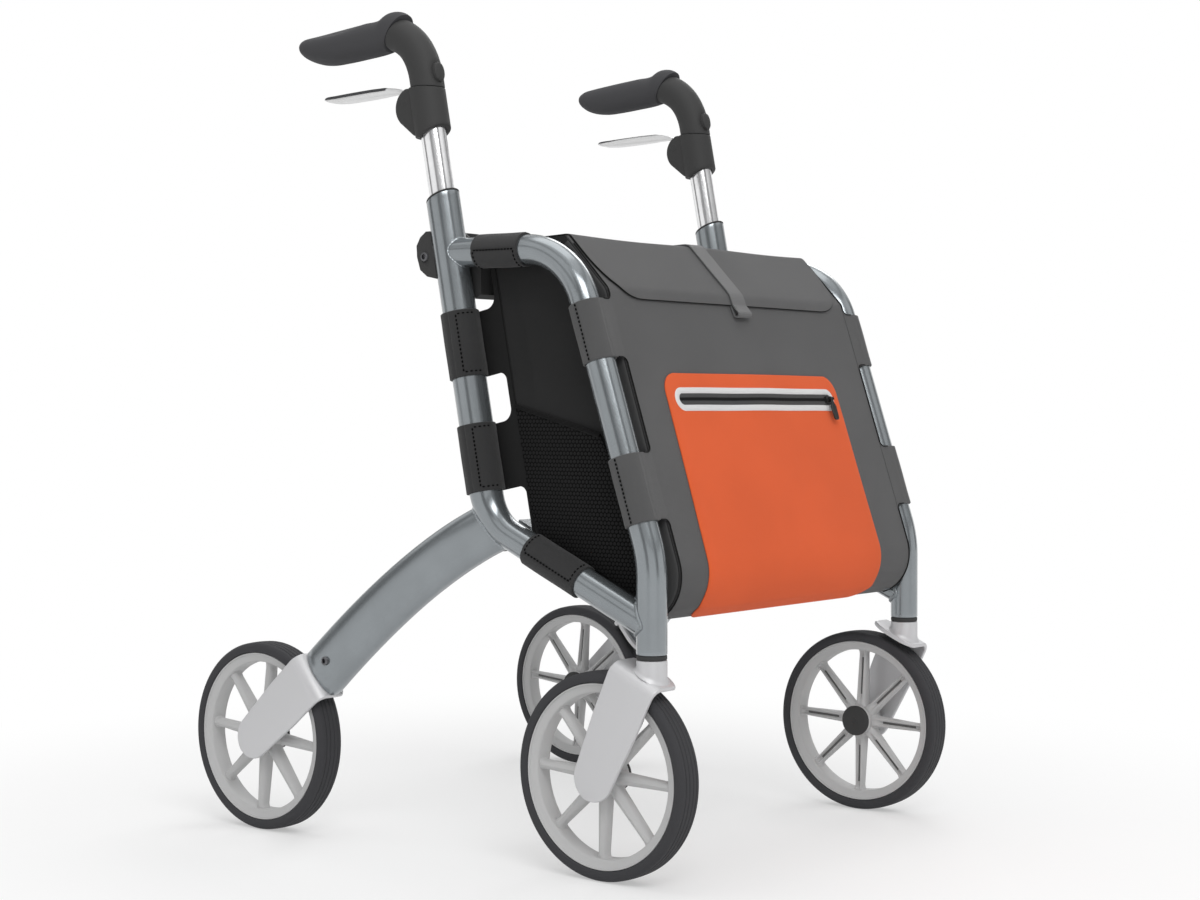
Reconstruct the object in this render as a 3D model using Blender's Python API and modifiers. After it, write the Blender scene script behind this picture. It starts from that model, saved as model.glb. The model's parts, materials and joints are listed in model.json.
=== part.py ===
"""Shopping rollator: two welded side frames, a bag between them and a crossbar linkage
that folds it sideways.  Metres, +Z up, the user walks towards -Y, origin on the floor
under the middle of the wheels."""
import math

import bmesh
import bpy
import numpy as np
from mathutils import Matrix, Vector

# Driving sizes
WHEEL_RADIUS = 0.100
WHEELBASE = 0.438
FRAME_HALF_WIDTH = 0.2305      # middle plane to the plane of each side frame
REAR_HALF_TRACK = 0.2656       # middle plane to the rear wheel's plane
TYRE_WIDTH = 0.0295
RIM_RADIUS = 0.0889
RIM_DEPTH = 0.0098
HUB_RADIUS = 0.0165
SPOKES = 8
WHEEL_STEPS = 28
CAP_THICKNESS = 0.0050
AXLE_RADIUS = 0.0040

UPRIGHT_RADIUS = 0.0173
TUBE_RADIUS = 0.0147
LEAN = math.radians(11.17)     # the uprights lean back from the vertical
UPRIGHT_REF = (-0.0094, 0.6453)   # a point (Y, Z) on the upright's axis
UPRIGHT_TOP = 0.0175           # the collar's height above that point, along the axis
TOP_TUBE_Z = 0.6058
FRONT_TUBE_SETBACK = 0.0597    # slanted front tube behind the stem, at the height below
FRONT_TUBE_Z = 0.4879
FRONT_TUBE_SLOPE = 0.3302      # run over rise of the slanted front tube
TRAIL = 0.0534                 # caster stem ahead of the front axle
STEM_BOTTOM = 0.2190
LOWER_TUBE_SLOPE = 0.450
LOWER_TUBE_SETBACK = 0.0195    # lower tube's point behind the stem, at the height below
LOWER_TUBE_Z = 0.2541
ELBOW_BEND = 0.060
TOP_BEND = 0.078
STEM_BEND = 0.120
LEG_HEIGHT = 0.055
LEG_BREADTH = 0.030

FORK_THICKNESS = 0.0045
FORK_REACH = 0.1125            # axle to the top of the fork's plate
FORK_SIDE_GAP = 0.0038         # tyre side to the blade
FRONT_FORK_ANGLE = math.radians(64.5)
REAR_FORK_ANGLE = math.radians(40.0)
FORK_TOP_WIDTH = 0.056
FORK_END_RADIUS = 0.023
SWIVEL_RING = 0.0044

HANDLE_TUBE_RADIUS = 0.0130
COLLAR_WALL = 0.0019
NECK_RADIUS = 0.0175
HOUSING_RADIUS = 0.0186
LEVER_DISC_RADIUS = 0.0205
LEVER_DISC_HALF = 0.0140
LEVER_PIVOT = (0.0372, 0.7615)
LEVER_WIDTH = 0.0100

PIVOT_INSET = 0.0355           # frame's plane to the crossbars' pivots
ARM_HALF_HEIGHT = 0.0090
ARM_TONGUE = 0.0120
ARM_BREADTH = 0.0208
PIN_RADIUS = 0.0030

CLOTH = 0.0024
BAG_INSET = 0.0210             # frame's plane to the inner face of the bag's side panels
SLEEVE_WALL = 0.0026
BAG_SETBACK = 0.0385           # upright's axis to the bag's back
BAG_CORNER = 0.045
BAG_PROUD = 0.0153             # bag's front ahead of the slanted tube's axis
BAG_BELOW = 0.0154             # bag's underside below the lower tube's axis
FLAP_INSET = 0.0045            # side panel to the flap's edge
POCKET_INSET = 0.0595          # side panel to the pocket's edge
BRACKET_REACH = 0.0090         # brackets past the crossbars' pivots

SEAT = 0.0003                  # gap where two pieces touch
RUN = 0.0006                   # running clearance round pins and sliding faces

# Derived places
ARM_REACH = FRAME_HALF_WIDTH - PIVOT_INSET
BAG_SIDE = FRAME_HALF_WIDTH - BAG_INSET
FLAP_HALF_WIDTH = BAG_SIDE - FLAP_INSET
POCKET_HALF_WIDTH = BAG_SIDE - POCKET_INSET
BRACKET_X = -ARM_REACH + BRACKET_REACH
AXLE_FRONT = (-WHEELBASE / 2, WHEEL_RADIUS)
AXLE_REAR = (WHEELBASE / 2, WHEEL_RADIUS)
STEM_Y = AXLE_FRONT[0] - TRAIL
FRONT_TUBE_REF = (STEM_Y + FRONT_TUBE_SETBACK, FRONT_TUBE_Z)
LOWER_TUBE_REF = (STEM_Y + LOWER_TUBE_SETBACK, LOWER_TUBE_Z)
COS_L, SIN_L = math.cos(LEAN), math.sin(LEAN)


def upright_at(z):
    """Point (Y, Z) of the upright's axis at a height."""
    return (UPRIGHT_REF[0] + (z - UPRIGHT_REF[1]) * math.tan(LEAN), z)


def along_upright(distance):
    """Point (Y, Z) at a distance above the reference point, along the axis."""
    return (UPRIGHT_REF[0] + distance * SIN_L, UPRIGHT_REF[1] + distance * COS_L)


def front_tube_at(z):
    return (FRONT_TUBE_REF[0] - FRONT_TUBE_SLOPE * (FRONT_TUBE_REF[1] - z), z)


def lower_tube_at(y):
    return (y, LOWER_TUBE_REF[1] + LOWER_TUBE_SLOPE * (y - LOWER_TUBE_REF[0]))


# Scene and materials
for old in list(bpy.data.objects):
    bpy.data.objects.remove(old, do_unlink=True)

PARTS = bpy.data.collections.new("shopping_rollator")
bpy.context.scene.collection.children.link(PARTS)


def material(name, colour, roughness, metallic):
    mat = bpy.data.materials.new(name)
    mat.use_nodes = True
    shader = mat.node_tree.nodes["Principled BSDF"]
    shader.inputs["Base Color"].default_value = (*colour, 1.0)
    shader.inputs["Roughness"].default_value = roughness
    shader.inputs["Metallic"].default_value = metallic
    mat.diffuse_color = (*colour, 1.0)
    return mat


PAINT = material("frame_grey_paint", (0.205, 0.228, 0.242), 0.34, 0.55)
SILVER = material("fork_silver", (0.62, 0.62, 0.63), 0.38, 0.45)
RIM_SILVER = material("rim_silver", (0.52, 0.52, 0.52), 0.42, 0.25)
POLISHED = material("handle_tube_polished", (0.80, 0.80, 0.81), 0.16, 1.0)
TYRE = material("tyre_rubber", (0.040, 0.040, 0.042), 0.72, 0.0)
BLACK = material("black_plastic", (0.032, 0.032, 0.033), 0.46, 0.0)
GRIP = material("grip_rubber", (0.052, 0.052, 0.054), 0.62, 0.0)
STEEL = material("screw_steel", (0.05, 0.05, 0.055), 0.40, 0.6)
CLOTH_FRONT = material("bag_grey_fabric", (0.120, 0.120, 0.121), 0.90, 0.0)
CLOTH_SIDE = material("bag_black_fabric", (0.022, 0.022, 0.023), 0.88, 0.0)
MESH_CLOTH = material("mesh_black", (0.018, 0.018, 0.019), 0.85, 0.0)
ORANGE = material("pocket_orange", (0.640, 0.142, 0.045), 0.86, 0.0)
STRAP_GREY = material("strap_grey", (0.210, 0.210, 0.212), 0.82, 0.0)
CROSSBAR = material("crossbar_grey", (0.16, 0.175, 0.185), 0.40, 0.5)


# Mesh helpers
def evaluated(obj):
    """The mesh of an object with its modifiers, in world space; the object goes."""
    bpy.context.view_layer.update()
    graph = bpy.context.evaluated_depsgraph_get()
    mesh = bpy.data.meshes.new_from_object(obj.evaluated_get(graph))
    mesh.transform(obj.matrix_world)
    data = obj.data
    bpy.data.objects.remove(obj, do_unlink=True)
    if isinstance(data, bpy.types.Curve):
        bpy.data.curves.remove(data)
    work = bmesh.new()
    work.from_mesh(mesh)
    bmesh.ops.remove_doubles(work, verts=work.verts, dist=0.00001)
    bmesh.ops.recalc_face_normals(work, faces=work.faces)
    work.to_mesh(mesh)
    work.free()
    return mesh


def holder(mesh, name="work"):
    obj = bpy.data.objects.new(name, mesh)
    PARTS.objects.link(obj)
    return obj


def boolean(base, tools, operation, solver="EXACT"):
    """Joins (UNION), cuts (DIFFERENCE) or intersects (INTERSECT) a mesh with others."""
    obj = holder(base)
    for tool in tools:
        other = holder(tool, "tool")
        step = obj.modifiers.new("step", "BOOLEAN")
        step.operation = operation
        step.solver = solver
        step.object = other
        bpy.context.view_layer.update()
        graph = bpy.context.evaluated_depsgraph_get()
        mesh = bpy.data.meshes.new_from_object(obj.evaluated_get(graph))
        obj.modifiers.clear()
        obj.data = mesh
        bpy.data.objects.remove(other, do_unlink=True)
    return evaluated(obj)


def join(base, *tools):
    return boolean(base, tools, "UNION")


def cut(base, *tools):
    return boolean(base, tools, "DIFFERENCE")


def common(base, *tools):
    return boolean(base, tools, "INTERSECT")


def moved(mesh, matrix):
    """A copy of a mesh under a transform; a mirror turns the faces round again."""
    new = mesh.copy()
    new.transform(matrix)
    if matrix.determinant() < 0:
        new.flip_normals()
    return new


def mirrored(mesh):
    return moved(mesh, Matrix.Scale(-1, 4, (1, 0, 0)))


def block(x, y, z):
    work = bmesh.new()
    bmesh.ops.create_cube(work, size=1.0)
    centre = Vector(((x[0] + x[1]) / 2, (y[0] + y[1]) / 2, (z[0] + z[1]) / 2))
    size = (abs(x[1] - x[0]), abs(y[1] - y[0]), abs(z[1] - z[0]))
    bmesh.ops.scale(work, vec=size, verts=work.verts)
    bmesh.ops.translate(work, vec=centre, verts=work.verts)
    mesh = bpy.data.meshes.new("block")
    work.to_mesh(mesh)
    work.free()
    return mesh


def rod(start, end, radius, sides=20, end_radius=None):
    """A cylinder or taper between two points."""
    start, end = Vector(start), Vector(end)
    axis = end - start
    work = bmesh.new()
    bmesh.ops.create_cone(work, cap_ends=True, segments=sides, radius1=radius,
                          radius2=radius if end_radius is None else end_radius,
                          depth=axis.length)
    turn = axis.to_track_quat("Z", "Y").to_matrix().to_4x4()
    mesh = bpy.data.meshes.new("rod")
    work.to_mesh(mesh)
    work.free()
    mesh.transform(Matrix.Translation((start + end) / 2) @ turn)
    return mesh


def bent_tube(points, radii, resolution=6):
    """A round tube along a path, from a bevelled curve with filled ends."""
    curve = bpy.data.curves.new("path", "CURVE")
    curve.dimensions = "3D"
    curve.bevel_depth = 1.0
    curve.bevel_resolution = resolution
    curve.use_fill_caps = True
    spline = curve.splines.new("POLY")
    spline.points.add(len(points) - 1)
    for place, point, radius in zip(spline.points, points, radii):
        place.co = (*point, 1.0)
        place.radius = radius
    return evaluated(holder(curve, "path"))


def prism(outline, low, high, frame=None):
    """A flat outline given as (a, b) pairs, made solid from low to high along c."""
    curve = bpy.data.curves.new("outline", "CURVE")
    curve.dimensions = "2D"
    curve.fill_mode = "BOTH"
    curve.extrude = (high - low) / 2
    spline = curve.splines.new("POLY")
    spline.points.add(len(outline) - 1)
    for place, point in zip(spline.points, outline):
        place.co = (point[0], point[1], 0.0, 1.0)
    spline.use_cyclic_u = True
    mesh = evaluated(holder(curve, "outline"))
    mesh.transform(Matrix.Translation((0, 0, (low + high) / 2)))
    if frame is not None:
        mesh.transform(frame)
        if frame.determinant() < 0:
            mesh.flip_normals()
    return mesh


def frame_of(a, b, c, origin=(0, 0, 0)):
    """Transform that takes the outline's a, b and c axes to world directions."""
    rows = [[a[i], b[i], c[i], origin[i]] for i in range(3)]
    return Matrix(rows + [[0, 0, 0, 1]])


SIDE_VIEW = frame_of((0, 1, 0), (0, 0, 1), (1, 0, 0))   # outline in Y and Z, solid along X


def side_plate(outline, x0, x1):
    return prism(outline, min(x0, x1), max(x0, x1), SIDE_VIEW)


def revolve(profile, steps):
    """A closed (radius, X) profile turned about the X axis."""
    mesh = bpy.data.meshes.new("profile")
    count = len(profile)
    edges = [(i, (i + 1) % count) for i in range(count)]
    mesh.from_pydata([(r, 0.0, x) for r, x in profile], edges, [])
    obj = holder(mesh)
    screw = obj.modifiers.new("turn", "SCREW")
    screw.axis = "Z"
    screw.steps = steps
    screw.render_steps = steps
    screw.use_merge_vertices = True
    screw.merge_threshold = 0.00001
    obj.rotation_euler = (0, math.pi / 2, 0)
    return evaluated(obj)


def loft(rings):
    """A skin over rings of equal count, closed at both ends by a fan."""
    count = len(rings[0])
    verts = [tuple(p) for ring in rings for p in ring]
    faces = []
    for i in range(len(rings) - 1):
        for j in range(count):
            k = (j + 1) % count
            faces.append((i * count + j, i * count + k, (i + 1) * count + k, (i + 1) * count + j))
    for base, turn in ((0, True), ((len(rings) - 1) * count, False)):
        middle = np.mean([verts[base + j] for j in range(count)], axis=0)
        verts.append(tuple(middle))
        tip = len(verts) - 1
        for j in range(count):
            k = (j + 1) % count
            faces.append((base + k, base + j, tip) if turn else (base + j, base + k, tip))
    mesh = bpy.data.meshes.new("loft")
    mesh.from_pydata(verts, [], faces)
    work = bmesh.new()
    work.from_mesh(mesh)
    bmesh.ops.recalc_face_normals(work, faces=work.faces)
    work.to_mesh(mesh)
    work.free()
    return mesh


def rounded(corners, radii, steps=6):
    """A path or outline through corners, each turned by an arc of its own radius."""
    points = []
    count = len(corners)
    for i, (corner, radius) in enumerate(zip(corners, radii)):
        corner = np.array(corner, float)
        if radius <= 0:
            points.append(corner)
            continue
        before = np.array(corners[i - 1], float) - corner
        after = np.array(corners[(i + 1) % count], float) - corner
        before /= np.linalg.norm(before)
        after /= np.linalg.norm(after)
        half = math.acos(max(-1.0, min(1.0, float(before @ after)))) / 2
        reach = radius / math.tan(half)
        bisector = (before + after) / np.linalg.norm(before + after)
        centre = corner + bisector * radius / math.sin(half)
        start = corner + before * reach - centre
        end = corner + after * reach - centre
        sweep = math.acos(max(-1.0, min(1.0, float(start @ end) / radius ** 2)))
        for k in range(steps + 1):
            t = k / steps
            mix = (math.sin((1 - t) * sweep) * start + math.sin(t * sweep) * end) / math.sin(sweep)
            points.append(centre + mix)
    return [tuple(p) for p in points]


def offset_path(path, distance):
    """The path moved sideways to its left by a distance, for open paths."""
    pts = np.array(path, float)
    steps = np.diff(pts, axis=0)
    steps /= np.linalg.norm(steps, axis=1)[:, None]
    normals = np.stack([-steps[:, 1], steps[:, 0]], axis=1)
    moved_pts = []
    for i in range(len(pts)):
        first = normals[max(i - 1, 0)]
        second = normals[min(i, len(normals) - 1)]
        mean = first + second
        mean = mean / np.linalg.norm(mean)
        moved_pts.append(pts[i] + mean * distance / max(0.3, float(mean @ second)))
    return [tuple(p) for p in moved_pts]


def band(path, inner, outer):
    """A closed outline between two offsets of one path."""
    return offset_path(path, inner) + offset_path(path, outer)[::-1]


def circle(centre, radius, steps=24, start=0.0, sweep=2 * math.pi):
    turn = steps if abs(sweep - 2 * math.pi) < 1e-9 else steps - 1
    return [(centre[0] + radius * math.cos(start + sweep * i / turn),
             centre[1] + radius * math.sin(start + sweep * i / turn)) for i in range(steps)]


def put(name, mesh, mat, origin=(0, 0, 0), sharp=35.0):
    """Names a finished mesh as one piece, with its origin on its own axis."""
    mesh.transform(Matrix.Translation(-Vector(origin)))
    mesh.name = name
    mesh.materials.clear()
    mesh.materials.append(mat)
    mesh.shade_smooth()
    mesh.set_sharp_from_angle(angle=math.radians(sharp))
    obj = bpy.data.objects.new(name, mesh)
    obj.location = origin
    PARTS.objects.link(obj)
    return obj


def pair(name, mesh, mat, origin=(0, 0, 0)):
    """Puts the right-hand piece (at negative X) and its mirror on the left."""
    other = mirrored(mesh)
    put(name + "_right", mesh, mat, origin)
    put(name + "_left", other, mat, (-origin[0], origin[1], origin[2]))


def at_x(x, points):
    return [(x, p[0], p[1]) for p in points]


# Wheels
def build_tyre():
    half = TYRE_WIDTH / 2
    seat = RIM_RADIUS + SEAT
    crown = WHEEL_RADIUS
    profile = [(seat, -half + 0.0010), (crown - 0.0048, -half), (crown, -half + 0.0052),
               (crown, half - 0.0052), (crown - 0.0048, half), (seat, half - 0.0010)]
    return revolve(profile, WHEEL_STEPS)


def build_rim(phase):
    """Rim, hub and tapered spokes as one casting; the first spoke stands at the phase."""
    half = TYRE_WIDTH / 2 - 0.0016
    inner = RIM_RADIUS - RIM_DEPTH
    ring = revolve([(RIM_RADIUS, -half), (RIM_RADIUS, half), (inner, half - 0.0030),
                    (inner, -half + 0.0030)], WHEEL_STEPS)
    hub = rod((-half - 0.0022, 0, 0), (half, 0, 0), HUB_RADIUS, 14)
    body = join(ring, hub)
    for i in range(SPOKES):
        turn = 2 * math.pi * i / SPOKES + math.radians(phase)
        out = Vector((0, math.sin(turn), math.cos(turn)))
        body = join(body, rod(out * (HUB_RADIUS - 0.004), out * (inner + 0.003), 0.0076, 6, 0.0054))
    bore = rod((-0.03, 0, 0), (0.03, 0, 0), AXLE_RADIUS + RUN / 2, 10)
    return cut(body, bore)


def build_cap():
    half = TYRE_WIDTH / 2 - 0.0016
    start = half + SEAT
    end = start + CAP_THICKNESS
    return revolve([(0.0, start), (HUB_RADIUS, start), (HUB_RADIUS, end - 0.0016),
                    (HUB_RADIUS - 0.0024, end), (0.0, end)], 14)


TYRE_MESH = build_tyre()
CAP_MESH = build_cap()

WHEELS = {
    "front_right": (-FRAME_HALF_WIDTH, AXLE_FRONT, -2.2),
    "front_left": (FRAME_HALF_WIDTH, AXLE_FRONT, -2.0),
    "rear_right": (-REAR_HALF_TRACK, AXLE_REAR, -5.2),
    "rear_left": (REAR_HALF_TRACK, AXLE_REAR, -4.7),
}
for corner, (x, axle, phase) in WHEELS.items():
    place = (x, axle[0], axle[1])
    for piece, mesh, mat in (("tyre", TYRE_MESH, TYRE), ("rim", build_rim(phase), RIM_SILVER),
                             ("hub_cap", CAP_MESH, BLACK)):
        new = mirrored(mesh) if x > 0 else mesh.copy()
        new.transform(Matrix.Translation(place))
        put(piece + "_" + corner, new, mat, place)


# Forks
BLADE_IN = TYRE_WIDTH / 2 + FORK_SIDE_GAP
BLADE_OUT = BLADE_IN + FORK_THICKNESS
PLATE_INBOARD = 0.0185


def fork_frame(axle, angle, x):
    """Local frame of a fork: a across the strip, b up along it, c outboard (-X)."""
    up = (0, -math.cos(angle), math.sin(angle))
    across = (0, -math.sin(angle), -math.cos(angle))
    return across, up, (x, axle[0], axle[1])


def build_fork(axle, angle, x):
    """A flat strip, rounded over the axle and bent inboard over the tyre, with its axle."""
    across, up, origin = fork_frame(axle, angle, x)
    bend = 0.013
    reach = FORK_REACH
    low = -0.030
    ell = rounded([(BLADE_OUT, low), (BLADE_OUT, reach), (-PLATE_INBOARD, reach),
                   (-PLATE_INBOARD, reach - FORK_THICKNESS), (BLADE_IN, reach - FORK_THICKNESS),
                   (BLADE_IN, low)], [0, bend, 0, 0, bend - FORK_THICKNESS, 0], 4)
    strip = prism(ell, -0.035, 0.035, frame_of((-1, 0, 0), up, across, origin))
    half = FORK_TOP_WIDTH / 2
    shoulder = 0.060
    outline = circle((0, 0), FORK_END_RADIUS, 9, math.pi, math.pi)
    outline = outline + [(half - 0.0010, shoulder), (half, reach + 0.02), (-half, reach + 0.02),
                         (-half + 0.0010, shoulder)]
    blade = prism(outline, -0.05, 0.05, frame_of(across, up, (-1, 0, 0), origin))
    plan = rounded([(-half - 0.01, -BLADE_OUT - 0.01), (half + 0.01, -BLADE_OUT - 0.01),
                    (half + 0.01, PLATE_INBOARD), (-half - 0.01, PLATE_INBOARD)],
                   [0, 0, 0.030, 0.030], 4)
    ends = prism(plan, -0.05, 0.2, frame_of(across, (1, 0, 0), up, origin))
    body = common(strip, blade, ends)
    pin = rod((x - BLADE_IN - 0.002, axle[0], axle[1]),
              (x + TYRE_WIDTH / 2 - 0.0040, axle[0], axle[1]), AXLE_RADIUS, 8)
    shoulder_ring = rod((x - BLADE_IN - 0.002, axle[0], axle[1]),
                        (x - TYRE_WIDTH / 2 - 0.0010, axle[0], axle[1]), 0.0072, 8)
    return join(body, shoulder_ring, pin)


front_fork = build_fork(AXLE_FRONT, FRONT_FORK_ANGLE, -FRAME_HALF_WIDTH)
ring_bottom = STEM_BOTTOM - SEAT - SWIVEL_RING
stem_top = ring_bottom - SEAT
plate_z = WHEEL_RADIUS + (FORK_REACH - TRAIL * math.cos(FRONT_FORK_ANGLE)) \
    / math.sin(FRONT_FORK_ANGLE)
sleeve = rod((-FRAME_HALF_WIDTH, STEM_Y, plate_z - 0.016), (-FRAME_HALF_WIDTH, STEM_Y, stem_top),
             TUBE_RADIUS, 18)
over_plate = fork_frame(AXLE_FRONT, FRONT_FORK_ANGLE, -FRAME_HALF_WIDTH)
trim = prism([(-0.06, 0.0), (0.06, 0.0), (0.06, FORK_REACH - 0.0015), (-0.06, FORK_REACH - 0.0015)],
             -0.06, 0.06, frame_of(over_plate[0], over_plate[1], (-1, 0, 0), over_plate[2]))
sleeve = cut(sleeve, trim)
spindle = rod((-FRAME_HALF_WIDTH, STEM_Y, stem_top - 0.004),
              (-FRAME_HALF_WIDTH, STEM_Y, STEM_BOTTOM + 0.048), 0.0080, 10)
front_fork = join(front_fork, sleeve, spindle)
pair("fork_front", front_fork, SILVER, (-FRAME_HALF_WIDTH, STEM_Y, STEM_BOTTOM))

ring = cut(rod((-FRAME_HALF_WIDTH, STEM_Y, ring_bottom),
               (-FRAME_HALF_WIDTH, STEM_Y, ring_bottom + SWIVEL_RING), TUBE_RADIUS - 0.0003, 14),
           rod((-FRAME_HALF_WIDTH, STEM_Y, ring_bottom - 0.01),
               (-FRAME_HALF_WIDTH, STEM_Y, ring_bottom + 0.02), 0.0080 + RUN / 2, 10))
bearing = cut(rod((-FRAME_HALF_WIDTH, STEM_Y, STEM_BOTTOM - SEAT - 0.0010),
                  (-FRAME_HALF_WIDTH, STEM_Y, STEM_BOTTOM + 0.014), 0.0112 - SEAT, 12),
              rod((-FRAME_HALF_WIDTH, STEM_Y, ring_bottom - 0.01),
                  (-FRAME_HALF_WIDTH, STEM_Y, STEM_BOTTOM + 0.03), 0.0080 + RUN / 2, 10))
pair("swivel_ring", join(ring, bearing), BLACK)


# Side frames
elbow_y = (UPRIGHT_REF[0] + math.tan(LEAN) * (LOWER_TUBE_REF[1] - LOWER_TUBE_SLOPE
           * LOWER_TUBE_REF[0] - UPRIGHT_REF[1])) / (1 - math.tan(LEAN) * LOWER_TUBE_SLOPE)
ELBOW = lower_tube_at(elbow_y)
TOP_CORNER = front_tube_at(TOP_TUBE_Z - 0.0012)
stem_corner_z = FRONT_TUBE_REF[1] - (FRONT_TUBE_REF[0] - STEM_Y) / FRONT_TUBE_SLOPE
STEM_CORNER = (STEM_Y, stem_corner_z)

main_path = rounded([along_upright(UPRIGHT_TOP + 0.020), ELBOW, lower_tube_at(STEM_Y + 0.0035)],
                    [0, ELBOW_BEND, 0], 4)
main_radii = []
for y, z in main_path:
    blend = min(1.0, max(0.0, (ELBOW[1] + 0.035 - z) / 0.050))
    main_radii.append(UPRIGHT_RADIUS + (TUBE_RADIUS - UPRIGHT_RADIUS) * blend)


def main_tube(grow=0.0):
    return bent_tube(at_x(-FRAME_HALF_WIDTH, main_path), [r + grow for r in main_radii], 4)


loop_path = rounded([(upright_at(TOP_TUBE_Z)[0] - 0.002, TOP_TUBE_Z + 0.0006), TOP_CORNER,
                     STEM_CORNER, (STEM_Y, STEM_BOTTOM)], [0, TOP_BEND, STEM_BEND, 0], 5)
loop_tube = bent_tube(at_x(-FRAME_HALF_WIDTH, loop_path), [TUBE_RADIUS] * len(loop_path), 4)

leg_up = Vector((0, -math.cos(REAR_FORK_ANGLE), math.sin(REAR_FORK_ANGLE)))
leg_end = Vector((-REAR_HALF_TRACK, *AXLE_REAR)) + leg_up * (FORK_REACH + SEAT)
leg_start = Vector((-FRAME_HALF_WIDTH, ELBOW[0] + 0.004, ELBOW[1] - 0.008))
leg_knee = Vector((-FRAME_HALF_WIDTH - 0.012, 0.0255, 0.2850))


def leg_place(t):
    return (1 - t) ** 2 * leg_start + 2 * t * (1 - t) * leg_knee + t ** 2 * leg_end


def leg_ring(t, grow):
    """One oval ring of the arched leg; it deepens a little towards the wheel."""
    place = leg_place(t)
    slope = (1 - t) * (leg_knee - leg_start) + t * (leg_end - leg_knee)
    tangent = slope.normalized()
    if t > 0.999:
        tangent = -leg_up
    outward = Vector((1, 0, 0))
    outward = (outward - tangent * outward.dot(tangent)).normalized()
    normal = tangent.cross(outward)
    high = (LEG_HEIGHT * (0.95 + 0.07 * t)) / 2 + grow
    wide = LEG_BREADTH / 2 + grow
    ring_points = []
    for i in range(16):
        angle = 2 * math.pi * i / 16
        c, s = math.cos(angle), math.sin(angle)
        bulge = 1 / (abs(c) ** 2.6 + abs(s) ** 2.6) ** (1 / 2.6)
        ring_points.append(place + outward * wide * c * bulge + normal * high * s * bulge)
    return ring_points


def rear_leg(grow=0.0):
    return loft([leg_ring(i / 7, grow) for i in range(8)])


side_frame = join(main_tube(), loop_tube, rear_leg())

# the bore for the handle tube, and the slanted mouth
bore_start = along_upright(-0.215)
bore_end = along_upright(0.060)
bore_radius = HANDLE_TUBE_RADIUS + RUN + COLLAR_WALL + SEAT
upright_bore = rod((-FRAME_HALF_WIDTH, *bore_start), (-FRAME_HALF_WIDTH, *bore_end), bore_radius, 16)
MOUTH_TILT = LEAN + math.radians(15.0)
mouth_along = (0, math.cos(MOUTH_TILT), -math.sin(MOUTH_TILT))
mouth_up = (0, math.sin(MOUTH_TILT), math.cos(MOUTH_TILT))
mouth_origin = (-FRAME_HALF_WIDTH, *along_upright(UPRIGHT_TOP))


def mouth_slab(low, high, half=0.040):
    frame = frame_of((1, 0, 0), mouth_along, mouth_up, mouth_origin)
    if frame.determinant() < 0:
        frame = frame_of((-1, 0, 0), mouth_along, mouth_up, mouth_origin)
    return prism([(-half, -half), (half, -half), (half, half), (-half, half)], low, high, frame)


stem_bore = rod((-FRAME_HALF_WIDTH, STEM_Y, STEM_BOTTOM - 0.01),
                (-FRAME_HALF_WIDTH, STEM_Y, STEM_BOTTOM + 0.056), 0.0114, 14)
SCREW_T = 0.93                 # the screw's place along the leg
leg_slope = ((1 - SCREW_T) * (leg_knee - leg_start) + SCREW_T * (leg_end - leg_knee)).normalized()
screw_in = (Vector((1, 0, 0)) - leg_slope * leg_slope.x).normalized()
screw_at = leg_place(SCREW_T) - screw_in * (LEG_BREADTH / 2 + SEAT + 0.0002)
screw_hole = rod(screw_at - screw_in * 0.01, screw_at + screw_in * 0.0100, 0.0028, 12)
side_frame = cut(side_frame, mouth_slab(0.0, 0.060), upright_bore, stem_bore, screw_hole)

# Bag profile
def bag_corner(slope, level):
    """Where the line y = slope * z + level crosses the bag's underside."""
    rise = LOWER_TUBE_REF[1] - LOWER_TUBE_SLOPE * LOWER_TUBE_REF[0] - BAG_BELOW
    y = (slope * rise + level) / (1 - slope * LOWER_TUBE_SLOPE)
    return (y, rise + LOWER_TUBE_SLOPE * y)


BAG_TOP_BACK, BAG_TOP, BAG_SHOULDER = 0.6150, 0.6185, 0.5655   # heights of its upper corners
bag_back_y = upright_at(0)[0] - BAG_SETBACK / COS_L
shoulder_y = front_tube_at(BAG_SHOULDER)[0] - BAG_PROUD
BAG_CORNERS = [(upright_at(BAG_TOP_BACK)[0] - BAG_SETBACK / COS_L, BAG_TOP_BACK),
               (shoulder_y + 0.0509, BAG_TOP), (shoulder_y, BAG_SHOULDER),
               bag_corner(FRONT_TUBE_SLOPE, front_tube_at(0)[0] - BAG_PROUD),
               bag_corner(math.tan(LEAN), bag_back_y)]
FLOOR_RISE = 0.0255            # lower tube's line to the underside of the bag's floor


def inset_corners(distance):
    """The bag's side outline with every edge moved inwards."""
    lines = []
    count = len(BAG_CORNERS)
    for i in range(count):
        start = np.array(BAG_CORNERS[i])
        end = np.array(BAG_CORNERS[(i + 1) % count])
        along = (end - start) / np.linalg.norm(end - start)
        lines.append((start + np.array([-along[1], along[0]]) * distance, along))
    corners = []
    for i in range(count):
        (p, d), (q, e) = lines[i - 1], lines[i]
        t = ((q[0] - p[0]) * e[1] - (q[1] - p[1]) * e[0]) / (d[0] * e[1] - d[1] * e[0])
        corners.append(tuple(p + d * t))
    return corners


def bag_outline(distance):
    return rounded(inset_corners(distance), [0, 0, 0.012, BAG_CORNER - distance, 0], 6)


FRONT_PATH = rounded(BAG_CORNERS[1:], [0, 0.012, BAG_CORNER, 0], 6)


def front_face_at(z):
    """Point (Y, Z) of the bag's slanted front at a height."""
    (top_y, top_z), (low_y, low_z) = BAG_CORNERS[2], BAG_CORNERS[3]
    return (top_y + (low_y - top_y) * (z - top_z) / (low_z - top_z), z)


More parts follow.
